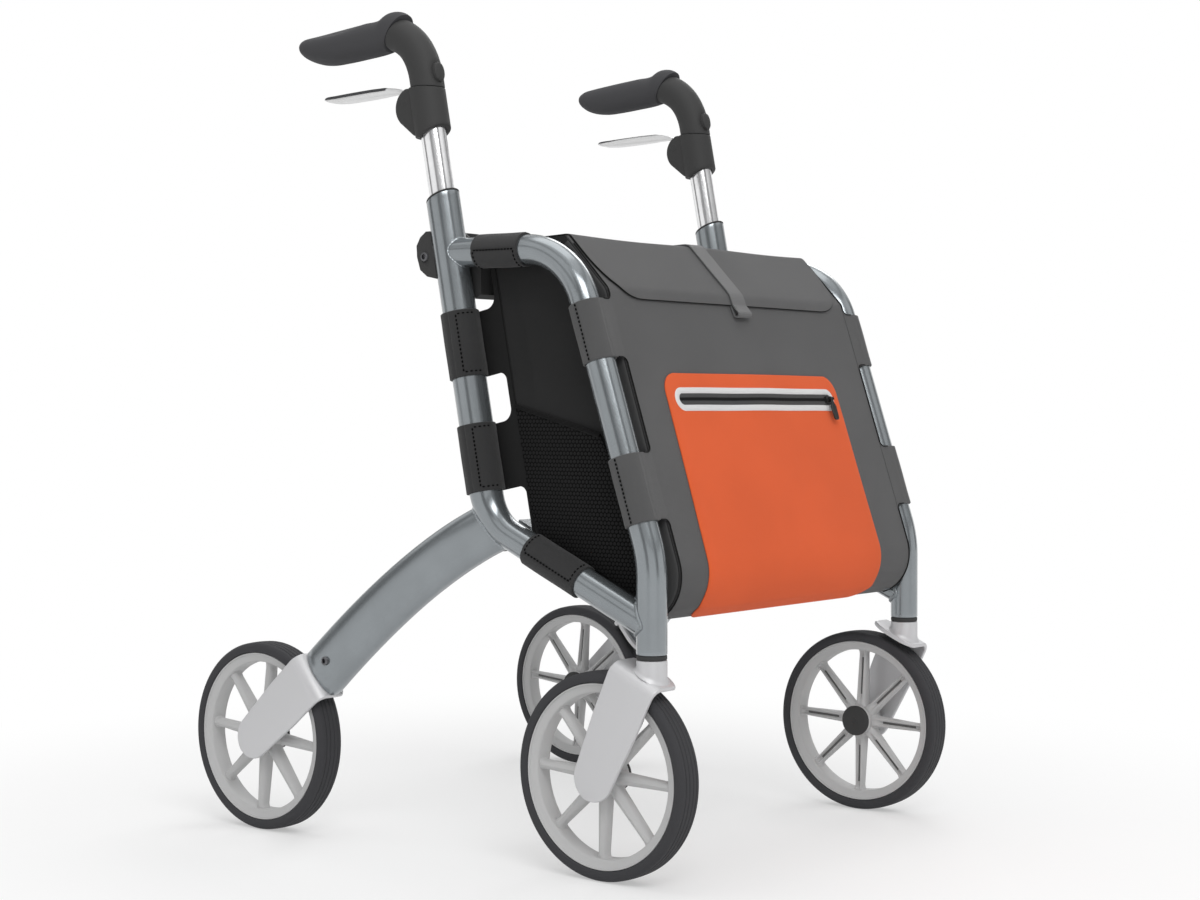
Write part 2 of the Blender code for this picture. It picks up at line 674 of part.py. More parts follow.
# Crossbar brackets
SLOPE_ANGLE = math.atan(LOWER_TUBE_SLOPE)
FOLD_UP = (0, math.cos(SLOPE_ANGLE), math.sin(SLOPE_ANGLE))
FOLD_AXIS = (0, -math.sin(SLOPE_ANGLE), math.cos(SLOPE_ANGLE))
FRONT_PIVOT = (STEM_Y + 0.0146, lower_tube_at(STEM_Y + 0.0146)[1] + 0.0150)
REAR_PIVOT = (-0.0560, lower_tube_at(-0.0560)[1] - 0.0202)
UPPER_PIVOT = (upright_at(TOP_TUBE_Z)[0] - 0.0035, TOP_TUBE_Z - 0.0010)
LINKS = {
    "upper": (UPPER_PIVOT, (0, 0, 1), (0, -1, 0)),
    "rear": (REAR_PIVOT, FOLD_UP, FOLD_AXIS),
    "front": (FRONT_PIVOT, FOLD_UP, FOLD_AXIS),
}


def link_frame(link):
    """Frame of a crossbar pair: a along X, b the way its middle folds, c the pin's axis."""
    pivot, up, axis = LINKS[link]
    return frame_of((1, 0, 0), up, axis, (0, *pivot))


def slotted(body, link, half, slot_floor):
    """Cuts the slot for the crossbar's tongue and adds its pin."""
    frame = link_frame(link)
    slot_half = ARM_TONGUE / 2 + RUN / 2
    back = -ARM_REACH - ARM_HALF_HEIGHT - 0.0008
    end = BRACKET_X + 0.05
    slot = prism([(back, slot_floor), (end, slot_floor), (end, 0.10), (back, 0.10)],
                 -slot_half, slot_half, frame)
    pin = prism(circle((-ARM_REACH, 0), PIN_RADIUS, 8), -half + 0.002, half - 0.002, frame)
    return join(cut(body, slot), pin)


GUSSET_HALF = 0.0112
tube_side = -FRAME_HALF_WIDTH + TUBE_RADIUS
gusset = prism([(tube_side - 0.004, -0.0150), (BRACKET_X - 0.0190, -0.0150),
                (BRACKET_X + 0.0010, -0.0125), (BRACKET_X + 0.0010, 0.0090),
                (BRACKET_X - 0.0040, 0.0110), (tube_side - 0.004, 0.0140)],
               -GUSSET_HALF, GUSSET_HALF, link_frame("front"))
lining = side_plate(band(FRONT_PATH, CLOTH + SEAT, -0.060), -BAG_SIDE, -BAG_SIDE + 0.0600)
gusset = cut(gusset, lining)
side_frame = join(side_frame, slotted(gusset, "front", GUSSET_HALF, -0.0097))
pair("frame", side_frame, PAINT)

upper_outline = [(-0.0400, 0.5600), (-0.0180, 0.5720), (-0.0100, 0.5800), (0.0040, 0.5830),
                 (0.0160, 0.5900), (0.0215, 0.6030), (0.0225, 0.6145), (0.0160, 0.6230),
                 (0.0060, 0.6285), (-0.0340, 0.6285), (-0.0480, 0.6220), (-0.0480, 0.5640)]
upper_bracket = join(side_plate(upper_outline, tube_side - 0.0040, BRACKET_X),
                     side_plate(upper_outline[1:9] + [(-0.0180, 0.6285)],
                                -FRAME_HALF_WIDTH - 0.0130, tube_side))
upper_bracket = slotted(upper_bracket, "upper", 0.0125, -0.0097)
upper_bracket = cut(upper_bracket,
                    rod((-FRAME_HALF_WIDTH, *upright_at(0.50)), (-FRAME_HALF_WIDTH, *upright_at(0.70)),
                        UPRIGHT_RADIUS + SEAT + 0.0002, 16),
                    rod((-FRAME_HALF_WIDTH, -0.20, TOP_TUBE_Z), (-FRAME_HALF_WIDTH, 0.0, TOP_TUBE_Z),
                        TUBE_RADIUS + SEAT + 0.0003, 14))
bracket_screw = rod((-FRAME_HALF_WIDTH - 0.0145, 0.0150, 0.6050),
                    (-FRAME_HALF_WIDTH - 0.0100, 0.0150, 0.6050), 0.0046, 12)
pair("upper_bracket", join(upper_bracket, bracket_screw), BLACK)

rear_bracket = prism([(tube_side - 0.0040, -0.0145), (BRACKET_X, -0.0135),
                      (BRACKET_X, 0.0100), (BRACKET_X - 0.0060, 0.0130),
                      (tube_side - 0.0040, 0.0145)],
                     -0.0125, 0.0125, link_frame("rear"))
rear_bracket = slotted(rear_bracket, "rear", 0.0125, -0.0097)
rear_bracket = cut(rear_bracket, main_tube(SEAT), rear_leg(SEAT))
pair("rear_bracket", rear_bracket, BLACK)


# Crossbars
ARM_THIN = 0.0285              # outer tongue, from the pivot to the full breadth
ARM_LAP = 0.045                # lap of the two bars at the middle pin


def build_arm(link, side):
    """One half of a folding crossbar, the right one with the cheeks and the middle pin."""
    frame = link_frame(link)
    h = ARM_HALF_HEIGHT
    end = side * ARM_REACH
    shape = circle((0, 0), h, 6, math.pi / 2, math.pi)
    if side > 0:
        shape = shape + circle((end, 0), h, 6, -math.pi / 2, math.pi)
    else:
        shape = circle((end, 0), h, 6, math.pi / 2, math.pi)
        shape = shape + circle((0, 0), h, 6, -math.pi / 2, math.pi)
    half = ARM_BREADTH / 2
    thin = ARM_TONGUE / 2
    body = prism(shape, -half, half, frame)
    root = end - side * ARM_THIN
    far = end + side * 0.02
    lo, hi = min(root, far), max(root, far)
    trims = [prism([(lo, -0.02), (hi, -0.02), (hi, 0.02), (lo, 0.02)], thin, 0.02, frame),
             prism([(lo, -0.02), (hi, -0.02), (hi, 0.02), (lo, 0.02)], -0.02, -thin, frame),
             prism(circle((end, 0), PIN_RADIUS + RUN / 2, 10), -0.02, 0.02, frame)]
    if side < 0:
        slot = thin + RUN / 2
        trims.append(prism([(-ARM_LAP, -0.02), (0.02, -0.02), (0.02, 0.02), (-ARM_LAP, 0.02)],
                           -slot, slot, frame))
        body = cut(body, *trims)
        return join(body, prism(circle((0, 0), PIN_RADIUS, 8), -half + 0.001, half - 0.001, frame))
    for low, high in ((thin, 0.02), (-0.02, -thin)):
        trims.append(prism([(-0.02, -0.02), (ARM_LAP, -0.02), (ARM_LAP, 0.02), (-0.02, 0.02)],
                           low, high, frame))
    trims.append(prism(circle((0, 0), PIN_RADIUS + RUN / 2, 10), -0.02, 0.02, frame))
    return cut(body, *trims)


for link, (pivot, up, axis) in LINKS.items():
    put("crossbar_" + link + "_right", build_arm(link, -1), CROSSBAR, (-ARM_REACH, *pivot))
    put("crossbar_" + link + "_left", build_arm(link, 1), CROSSBAR, (0, *pivot))

# plastic collar in the mouth of the upright
flange = common(rod((-FRAME_HALF_WIDTH, *along_upright(-0.03)),
                    (-FRAME_HALF_WIDTH, *along_upright(0.06)), UPRIGHT_RADIUS, 16),
                mouth_slab(SEAT, 0.0020))
liner = common(rod((-FRAME_HALF_WIDTH, *along_upright(-0.040)),
                   (-FRAME_HALF_WIDTH, *along_upright(0.06)), bore_radius - SEAT - 0.0002, 12),
               mouth_slab(-0.080, 0.0012))
collar_bore = rod((-FRAME_HALF_WIDTH, *along_upright(-0.06)),
                  (-FRAME_HALF_WIDTH, *along_upright(0.08)), HANDLE_TUBE_RADIUS + RUN, 12)
pair("collar", cut(join(liner, flange), collar_bore), BLACK)

# countersunk socket screw in the outer face of the leg
screw = join(rod(screw_at, screw_at - screw_in * 0.0022, 0.0044, 10),
             rod(screw_at - screw_in * 0.0005, screw_at + screw_in * 0.0090, 0.0024, 8))
pair("leg_screw", screw, STEEL)


# Handles
X_R = -FRAME_HALF_WIDTH


def upright_rod(low, high, radius, sides=20):
    return rod((X_R, *along_upright(low)), (X_R, *along_upright(high)), radius, sides)


TUBE_LOW, TUBE_HIGH = -0.170, 0.1250
handle_tube = cut(upright_rod(TUBE_LOW, TUBE_HIGH, HANDLE_TUBE_RADIUS, 18),
                  upright_rod(TUBE_LOW - 0.01, TUBE_HIGH + 0.01, HANDLE_TUBE_RADIUS - 0.0015, 14))
pair("handle_tube", handle_tube, POLISHED)

NECK_SEAM_Z = 0.7755
DISC = (0.0280, 0.7560)
housing = upright_rod(0.060, 0.150, HOUSING_RADIUS, 16)
disc = side_plate(circle(DISC, LEVER_DISC_RADIUS, 18), X_R - LEVER_DISC_HALF, X_R + LEVER_DISC_HALF)
web = side_plate([(0.0060, 0.7285), (0.0165, 0.7258), (0.0225, 0.7266), (0.0400, 0.7395),
                  (0.0300, 0.7650), (0.0060, 0.7650)], X_R - 0.0128, X_R + 0.0128)
housing = join(housing, disc, web)
foot = side_plate([(-0.0400, 0.7400), (0.0220, 0.7254), (0.0600, 0.7164), (0.0600, 0.6600),
                   (-0.0400, 0.6600)], X_R - 0.05, X_R + 0.05)
notch = rod((X_R - 0.05, 0.0015, 0.7270), (X_R + 0.05, 0.0015, 0.7270), 0.0105, 10)
slot = block((X_R - LEVER_WIDTH / 2 - RUN, X_R + LEVER_WIDTH / 2 + RUN), (0.0287, 0.0700),
             (0.7530, 0.8000))
housing = cut(housing, block((X_R - 0.05, X_R + 0.05), (-0.06, 0.10), (NECK_SEAM_Z, 0.85)), foot,
              notch, upright_rod(0.040, TUBE_HIGH + 0.0020, HANDLE_TUBE_RADIUS + SEAT + 0.0002, 14), slot)
pin = rod((X_R - LEVER_DISC_HALF + 0.002, *LEVER_PIVOT), (X_R + LEVER_DISC_HALF - 0.002, *LEVER_PIVOT),
          PIN_RADIUS, 12)
pair("brake_housing", join(housing, pin), BLACK)

NECK_PATH = [(0.0138, 0.7680), (0.0156, 0.7800), (0.0190, 0.7945), (0.0260, 0.8096),
             (0.0345, 0.8205), (0.0455, 0.8290), (0.0562, 0.8344), (0.0645, 0.8400)]
GRIP_SEAM = (0.0562, 0.8344)
GRIP_SEAM_TILT = math.radians(33.9)


def seam_slab(low, high):
    """Slab across the seam between neck and grip, measured from the seam to the rear."""
    c, s = math.cos(GRIP_SEAM_TILT), math.sin(GRIP_SEAM_TILT)
    frame = frame_of((1, 0, 0), (0, s, -c), (0, c, s), (X_R, *GRIP_SEAM))
    return prism([(-0.03, -0.03), (0.03, -0.03), (0.03, 0.03), (-0.03, 0.03)], low, high, frame)


neck = bent_tube(at_x(X_R, NECK_PATH), [NECK_RADIUS] * len(NECK_PATH), 4)
BUTTON_OUT = Vector((0, -COS_L, SIN_L))
BUTTON_ALONG = (0, SIN_L, COS_L)
button_face = Vector((X_R, 0.0166, 0.7875)) + BUTTON_OUT * NECK_RADIUS


def oval(half_width, half_height, count=12):
    return [(half_width * math.cos(2 * math.pi * i / count),
             half_height * math.sin(2 * math.pi * i / count)) for i in range(count)]


def button_prism(half_width, half_height, low, high):
    frame = frame_of((-1, 0, 0), BUTTON_ALONG, tuple(BUTTON_OUT), tuple(button_face))
    return prism(oval(half_width, half_height), low, high, frame)


neck = cut(neck, block((X_R - 0.05, X_R + 0.05), (-0.06, 0.10), (0.70, NECK_SEAM_Z + SEAT)),
           button_prism(0.0070 + SEAT, 0.0100 + SEAT, -0.0100, 0.020), seam_slab(0.0, 0.040))
pair("handle_neck", neck, BLACK)
pair("release_button", button_prism(0.0070, 0.0100, -0.0068, 0.0026), BLACK, tuple(
    Vector((X_R, 0, 0)) + Vector((0, button_face[1], button_face[2]))))

# grip: rings from its seam with the neck to the rounded end; (top, bottom, inboard, outboard)
GRIP_RINGS = [((0.0434, 0.8538), (0.0680, 0.8178), 0.0174, 0.0174),
              ((0.0515, 0.8572), (0.0694, 0.8174), 0.0186, 0.0186),
              ((0.0620, 0.8578), (0.0735, 0.8165), 0.0188, 0.0188),
              ((0.0740, 0.8528), (0.0800, 0.8156), 0.0174, 0.0180),
              ((0.1000, 0.8506), (0.1020, 0.8141), 0.0166, 0.0196),
              ((0.1300, 0.8484), (0.1300, 0.8127), 0.0160, 0.0238),
              ((0.1530, 0.8464), (0.1530, 0.8127), 0.0158, 0.0270),
              ((0.1690, 0.8448), (0.1675, 0.8150), 0.0156, 0.0272),
              ((0.1800, 0.8432), (0.1775, 0.8186), 0.0140, 0.0240),
              ((0.1875, 0.8396), (0.1850, 0.8236), 0.0104, 0.0170),
              ((0.1908, 0.8352), (0.1898, 0.8290), 0.0050, 0.0080)]
rings = []
for top, bottom, inboard, outboard in GRIP_RINGS:
    top, bottom = np.array(top), np.array(bottom)
    middle, reach = (top + bottom) / 2, (top - bottom) / 2
    ring_points = []
    for i in range(12):
        c, s = math.cos(2 * math.pi * i / 12), math.sin(2 * math.pi * i / 12)
        y, z = middle + reach * s
        ring_points.append((X_R + (inboard if c > 0 else outboard) * c, y, z))
    rings.append(ring_points)
grip = cut(loft(rings), seam_slab(-0.040, SEAT))
pair("grip", grip, GRIP)

# brake lever: eye in the housing's slot and a flattened bar that widens under the grip
LEVER_STATIONS = [((0.0396, 0.7648), 0.0034, 0.0050), ((0.0440, 0.7708), 0.0034, 0.0050),
                  ((0.0510, 0.7752), 0.0036, 0.0054), ((0.0620, 0.7764), 0.0040, 0.0064),
                  ((0.0820, 0.7762), 0.0043, 0.0084), ((0.1100, 0.7756), 0.0043, 0.0100),
                  ((0.1400, 0.7752), 0.0036, 0.0100), ((0.1540, 0.7758), 0.0024, 0.0094),
                  ((0.1590, 0.7764), 0.0012, 0.0066)]
centres = [np.array(station[0]) for station in LEVER_STATIONS]
rings = []
for i, (centre, half_high, half_wide) in enumerate(LEVER_STATIONS):
    tangent = centres[min(i + 1, len(centres) - 1)] - centres[max(i - 1, 0)]
    tangent /= np.linalg.norm(tangent)
    normal = np.array([-tangent[1], tangent[0]])
    ring_points = []
    for c, s in ((1, 0.5), (0.75, 1), (-0.75, 1), (-1, 0.5), (-1, -0.5), (-0.75, -1), (0.75, -1),
                 (1, -0.5)):
        y, z = np.array(centre) + normal * half_high * s
        ring_points.append((X_R + half_wide * c, y, z))
    rings.append(ring_points)
eye = side_plate(circle(LEVER_PIVOT, 0.0075, 14), X_R - LEVER_WIDTH / 2, X_R + LEVER_WIDTH / 2)
lever = cut(join(loft(rings), eye), rod((X_R - 0.02, *LEVER_PIVOT), (X_R + 0.02, *LEVER_PIVOT),
                                         PIN_RADIUS + RUN / 2, 10))
pair("brake_lever", lever, BLACK, (X_R, *LEVER_PIVOT))


# Brake shoes, under the plates of the rear forks
# Places round the rear wheel: (along, across) from its axle, along towards the leg.
SHOE_EYE = 0.0030
SHOE_HEADROOM = 0.0008         # shoe's back to the plate above it
SHOE_HALF = 0.0105
SHOE_LENGTH = 0.0340
SHOE_SWING = 5.0               # degrees from rest to the tyre
SHOE_TOUCH = 4.0               # where it meets the tyre, degrees round the wheel
SHOE_REST = 0.0006             # what is left of the gap at the end of the swing
SHOE_PIN = 0.0015
LUG_THICKNESS = 0.0030
plate_under = FORK_REACH - FORK_THICKNESS
shoe_back = plate_under - SHOE_HEADROOM
SHOE_PIVOT = (shoe_back - SHOE_EYE, -0.0200)
shoe_frame_axes = fork_frame(AXLE_REAR, REAR_FORK_ANGLE, -REAR_HALF_TRACK)
shoe_frame = frame_of(shoe_frame_axes[0], shoe_frame_axes[1], (-1, 0, 0), shoe_frame_axes[2])


def on_shoe(distance):
    """A point of the shoe's face: the tyre's tangent where they meet, turned back to rest."""
    touch, swing = math.radians(SHOE_TOUCH), math.radians(SHOE_SWING)
    radius = WHEEL_RADIUS + SHOE_REST
    a = radius * math.sin(touch) + distance * math.cos(touch) - SHOE_PIVOT[1]
    b = radius * math.cos(touch) - distance * math.sin(touch) - SHOE_PIVOT[0]
    return (SHOE_PIVOT[1] + a * math.cos(swing) - b * math.sin(swing),
            SHOE_PIVOT[0] + a * math.sin(swing) + b * math.cos(swing))


def shoe_circle(radius, count, start=0.0, sweep=2 * math.pi):
    return [(SHOE_PIVOT[1] + p[0], SHOE_PIVOT[0] + p[1])
            for p in circle((0, 0), radius, count, start, sweep)]


face_rear, face_front = on_shoe(-SHOE_LENGTH / 2), on_shoe(SHOE_LENGTH / 2)
shoe_outline = [face_rear, face_front, (face_front[0] + 0.0010, face_front[1] + 0.0012),
                (face_front[0] + 0.0010, shoe_back - 0.0010), (face_front[0], shoe_back)] + \
    shoe_circle(SHOE_EYE, 7, math.pi / 2, math.radians(200))
shoe = prism(shoe_outline, -SHOE_HALF, SHOE_HALF, shoe_frame)
shoe_bore = prism(shoe_circle(SHOE_PIN + RUN / 2, 10), -0.03, 0.03, shoe_frame)
shoe_hinge = shoe_frame @ Vector((SHOE_PIVOT[1], SHOE_PIVOT[0], 0))
pair("brake_shoe", cut(shoe, shoe_bore), BLACK, tuple(shoe_hinge))

# Rear forks with the shoe's lugs and pin
rear_fork = build_fork(AXLE_REAR, REAR_FORK_ANGLE, -REAR_HALF_TRACK)
lug_outline = [(SHOE_PIVOT[1] + 0.0040, plate_under + 0.0006)] + \
    [(SHOE_PIVOT[1] - 0.0040, plate_under + 0.0006)] + \
    shoe_circle(SHOE_EYE, 7, math.pi, math.pi)
for low in (SHOE_HALF + RUN, -SHOE_HALF - RUN - LUG_THICKNESS):
    rear_fork = join(rear_fork, prism(lug_outline, low, low + LUG_THICKNESS, shoe_frame))
lug_pin = prism(shoe_circle(SHOE_PIN, 8), -SHOE_HALF - RUN - 0.002, SHOE_HALF + RUN + 0.002,
                shoe_frame)
pair("fork_rear", join(rear_fork, lug_pin), SILVER)


# Bag
def tube_dir(start, end):
    gap = np.array(end) - np.array(start)
    return gap / np.linalg.norm(gap)


SLEEVES = [(upright_at(0.546), upright_at(0.480), UPRIGHT_RADIUS),
           (upright_at(0.433), upright_at(0.366), UPRIGHT_RADIUS),
           ((-0.0500, TOP_TUBE_Z + 0.0001), (-0.1180, TOP_TUBE_Z - 0.0007), TUBE_RADIUS),
           (front_tube_at(0.5500), front_tube_at(0.4937), TUBE_RADIUS),
           (front_tube_at(0.4033), front_tube_at(0.3500), TUBE_RADIUS),
           (lower_tube_at(-0.125), lower_tube_at(-0.190), TUBE_RADIUS)]
SIDE_OUT = BAG_SIDE + 0.0023


def sleeve_shapes(start, end, radius, grow=0.0):
    """Solid ring round a tube and the flat tab from it to the side panel."""
    along = tube_dir(start, end)
    across = np.array([-along[1], along[0]])
    reach = 0.0080
    if radius == UPRIGHT_RADIUS:
        across = across if across[0] < 0 else -across
        reach = 0.0520
    start, end = np.array(start) - along * grow, np.array(end) + along * grow
    ring = rod((X_R, *start), (X_R, *end), radius + SEAT + SLEEVE_WALL + grow, 8)
    lap = along * 0.0012
    back = -across * 0.0060
    far = across * (reach + grow)
    tab = [tuple(start + back + lap), tuple(end + back - lap), tuple(end + far - lap),
           tuple(start + far + lap)]
    inner = -FRAME_HALF_WIDTH + radius - 0.0006
    return ring, side_plate(tab, inner, -BAG_SIDE - 0.0007)


def build_bag_side():
    """Side panel with the cloth sleeves that hold it to the frame's tubes."""
    body = side_plate(bag_outline(0.0), -SIDE_OUT, -BAG_SIDE)
    gap = prism([(-SIDE_OUT - 0.03, -0.0165), (-BAG_SIDE + 0.03, -0.0165),
                 (-BAG_SIDE + 0.03, 0.0155), (-SIDE_OUT - 0.03, 0.0155)],
                -GUSSET_HALF - 0.0008, GUSSET_HALF + 0.0008, link_frame("front"))
    body = cut(body, gap)
    for start, end, radius in SLEEVES:
        along = tube_dir(start, end) * 0.01
        bore = rod((X_R, *(np.array(start) - along)), (X_R, *(np.array(end) + along)),
                   radius + SEAT + 0.0004, 12)
        ring, tab = sleeve_shapes(start, end, radius)
        body = join(body, cut(join(ring, tab), bore))
    return body


pair("bag_side", build_bag_side(), CLOTH_SIDE)

rear_edge = [(upright_at(z)[0] - BAG_SETBACK / COS_L - 0.0015, z) for z in (0.453, 0.350)]
mesh_low = front_tube_at(0.2790)[0] + 0.0377
mesh_outline = [rear_edge[0], (front_tube_at(0.4240)[0] + 0.0378, 0.4240),
                (front_tube_at(0.320)[0] + 0.0135, 0.320),
                (mesh_low, lower_tube_at(mesh_low)[1] + 0.0209),
                (mesh_low + 0.0060, lower_tube_at(mesh_low + 0.0060)[1] + 0.0117),
                (-0.1200, lower_tube_at(-0.1200)[1] + 0.0121), rear_edge[1]]
mesh_out = SIDE_OUT + SEAT
mesh_panel = side_plate(mesh_outline, -mesh_out - 0.0012, -mesh_out)
for start, end, radius in SLEEVES:
    mesh_panel = cut(mesh_panel, *sleeve_shapes(start, end, radius, 0.0008))
pair("mesh_pocket", mesh_panel, MESH_CLOTH)

BAG_X = BAG_SIDE - SEAT
put("bag_front", side_plate(band(FRONT_PATH, 0.0, CLOTH), -BAG_X, BAG_X), CLOTH_FRONT)

back_low, back_high = BAG_CORNERS[4], BAG_CORNERS[0]
up_back = tube_dir(back_low, back_high)
floor_shift = FLOOR_RISE / math.cos(SLOPE_ANGLE)


def on_floor(y, extra=0.0):
    return (y, lower_tube_at(y)[1] + floor_shift + extra)


back_floor_y = (back_low[0] - up_back[0] / up_back[1] * (back_low[1] - on_floor(0)[1])) \
    / (1 - LOWER_TUBE_SLOPE * up_back[0] / up_back[1])
back_foot = on_floor(back_floor_y)
inward = np.array([-up_back[1], up_back[0]])
back_panel = [back_foot, tuple(np.array(back_high) - up_back * SEAT),
              tuple(np.array(back_high) - up_back * SEAT + inward * CLOTH),
              tuple(np.array(back_foot) + inward * CLOTH - up_back * 0.0002)]
put("bag_back", side_plate(back_panel, -BAG_X, BAG_X), CLOTH_SIDE)

floor_slab = side_plate([on_floor(-0.40), on_floor(0.05), on_floor(0.05, CLOTH), on_floor(-0.40, CLOTH)],
                        -BAG_X, BAG_X)
inside = side_plate(bag_outline(CLOTH + SEAT), -BAG_SIDE, BAG_SIDE)
put("bag_floor", common(floor_slab, inside), CLOTH_SIDE)

# flap over the opening, with the webbing strap that closes it
FLAP_HINGE = (-0.0600, 0.6158)
FLAP_LOW_Z = 0.5560
flap_low = front_face_at(FLAP_LOW_Z)
FLAP_PATH = [(FLAP_HINGE[0], FLAP_HINGE[1] - 0.0004)] + rounded(
    [BAG_CORNERS[1], BAG_CORNERS[1], BAG_CORNERS[2], flap_low, flap_low], [0, 0, 0.012, 0, 0], 6)[1:-1]
flap = side_plate(band(FLAP_PATH, -SEAT, -SEAT - CLOTH), -FLAP_HALF_WIDTH, FLAP_HALF_WIDTH)
corner = 0.047
flap_front = rounded([(-FLAP_HALF_WIDTH - 0.001, BAG_TOP + 0.05), (-FLAP_HALF_WIDTH - 0.001, FLAP_LOW_Z - 0.0060),
                      (FLAP_HALF_WIDTH + 0.001, FLAP_LOW_Z - 0.0060), (FLAP_HALF_WIDTH + 0.001, BAG_TOP + 0.05)],
                     [0, corner, corner, 0], 6)
FRONT_VIEW = frame_of((1, 0, 0), (0, 0, 1), (0, -1, 0))
flap = common(flap, prism(flap_front, 0.0, 0.40, FRONT_VIEW))
put("flap", flap, CLOTH_FRONT, (0, *FLAP_HINGE))

STRAP_X = (-0.0090, 0.0210)
strap_tail = (FLAP_PATH[-1][0] - 0.0060, 0.5420)
strap_path = FLAP_PATH[1:] + [strap_tail]
strap = side_plate(band(strap_path, -SEAT - CLOTH - SEAT, -SEAT - CLOTH - SEAT - 0.0018), *STRAP_X)
put("flap_strap", strap, STRAP_GREY, (0, *FLAP_HINGE))

# zipped pocket on the front, following the bag's lower corner
POCKET_RISE = 0.0045
POCKET_TOP_Z, POCKET_LOW_Z = 0.4825, 0.2520
pocket_wide = POCKET_HALF_WIDTH + 0.020
pocket_band = side_plate(band(FRONT_PATH[7:], -SEAT, -POCKET_RISE), -pocket_wide, pocket_wide)
pocket_front = rounded([(-POCKET_HALF_WIDTH, POCKET_TOP_Z), (POCKET_HALF_WIDTH, POCKET_TOP_Z),
                        (POCKET_HALF_WIDTH + 0.008, POCKET_LOW_Z),
                        (-POCKET_HALF_WIDTH - 0.008, POCKET_LOW_Z)],
                       [0.020, 0.020, 0.030, 0.030], 5)
ZIP_Z = 0.4578
zip_half = POCKET_HALF_WIDTH - 0.014
zip_window = block((-zip_half, zip_half), (BAG_CORNERS[3][0] - 0.05, 0.0), (ZIP_Z - 0.0055, ZIP_Z + 0.0055))
groove = side_plate(band(FRONT_PATH[7:], -POCKET_RISE + 0.0020, -0.050), -pocket_wide, pocket_wide)
underside_y = LOWER_TUBE_REF[0] + (POCKET_LOW_Z + BAG_BELOW - LOWER_TUBE_REF[1]) / LOWER_TUBE_SLOPE
pocket = common(pocket_band, prism(pocket_front, 0.0020 - underside_y, 0.05 - BAG_CORNERS[3][0],
                                   FRONT_VIEW))
pocket = cut(pocket, common(zip_window, groove))
put("front_pocket", pocket, ORANGE)

# zip slider and its puller
front_dir = np.array([FRONT_TUBE_SLOPE, 1.0]) / math.hypot(FRONT_TUBE_SLOPE, 1.0)
front_out = np.array([-front_dir[1], front_dir[0]])
zip_point = np.array(front_face_at(ZIP_Z))


def zip_frame(x):
    return frame_of((1, 0, 0), (0, *front_dir), (0, *front_out), (x, *zip_point))


ZIP_X = POCKET_HALF_WIDTH - 0.0210
slider = prism(rounded([(-0.0065, -0.0040), (0.0065, -0.0028), (0.0065, 0.0028), (-0.0065, 0.0040)],
                       [0.0015] * 4, 2), POCKET_RISE - 0.0020 + SEAT, POCKET_RISE + 0.0022,
               zip_frame(ZIP_X))
SLIDER_TOP = POCKET_RISE + 0.0022
PULL_AXIS = SLIDER_TOP + 0.0020
PULL_HALF = 0.0020             # the puller's neck, between the slider's two ears
PULL_THICKNESS = 0.0018
for x in (-PULL_HALF - SEAT - 0.0010, PULL_HALF + SEAT):
    ear = prism([(x, -0.0016), (x + 0.0010, -0.0016), (x + 0.0010, 0.0016), (x, 0.0016)],
                POCKET_RISE + 0.0010, PULL_AXIS + 0.0016, zip_frame(ZIP_X))
    slider = join(slider, ear)
put("zip_slider", slider, STEEL, tuple(Vector((ZIP_X, *zip_point))))
PULL_LENGTH = 0.0240
puller = prism([(-PULL_HALF, 0.0012), (-PULL_HALF, -0.0040), (-0.0048, -0.0090),
                (-0.0042, -PULL_LENGTH + 0.0020), (-0.0024, -PULL_LENGTH),
                (0.0024, -PULL_LENGTH), (0.0042, -PULL_LENGTH + 0.0020), (0.0048, -0.0090),
                (PULL_HALF, -0.0040), (PULL_HALF, 0.0012)],
               PULL_AXIS - PULL_THICKNESS / 2, PULL_AXIS + PULL_THICKNESS / 2, zip_frame(ZIP_X))
put("zip_puller", puller, STEEL, tuple(Vector((ZIP_X, *(zip_point + front_out * PULL_AXIS)))))
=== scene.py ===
"""Shopping rollator, dressed: welded grey frame, silver wheels on single-sided forks, hand
brakes and a soft bag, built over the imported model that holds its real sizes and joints."""
import json
import math

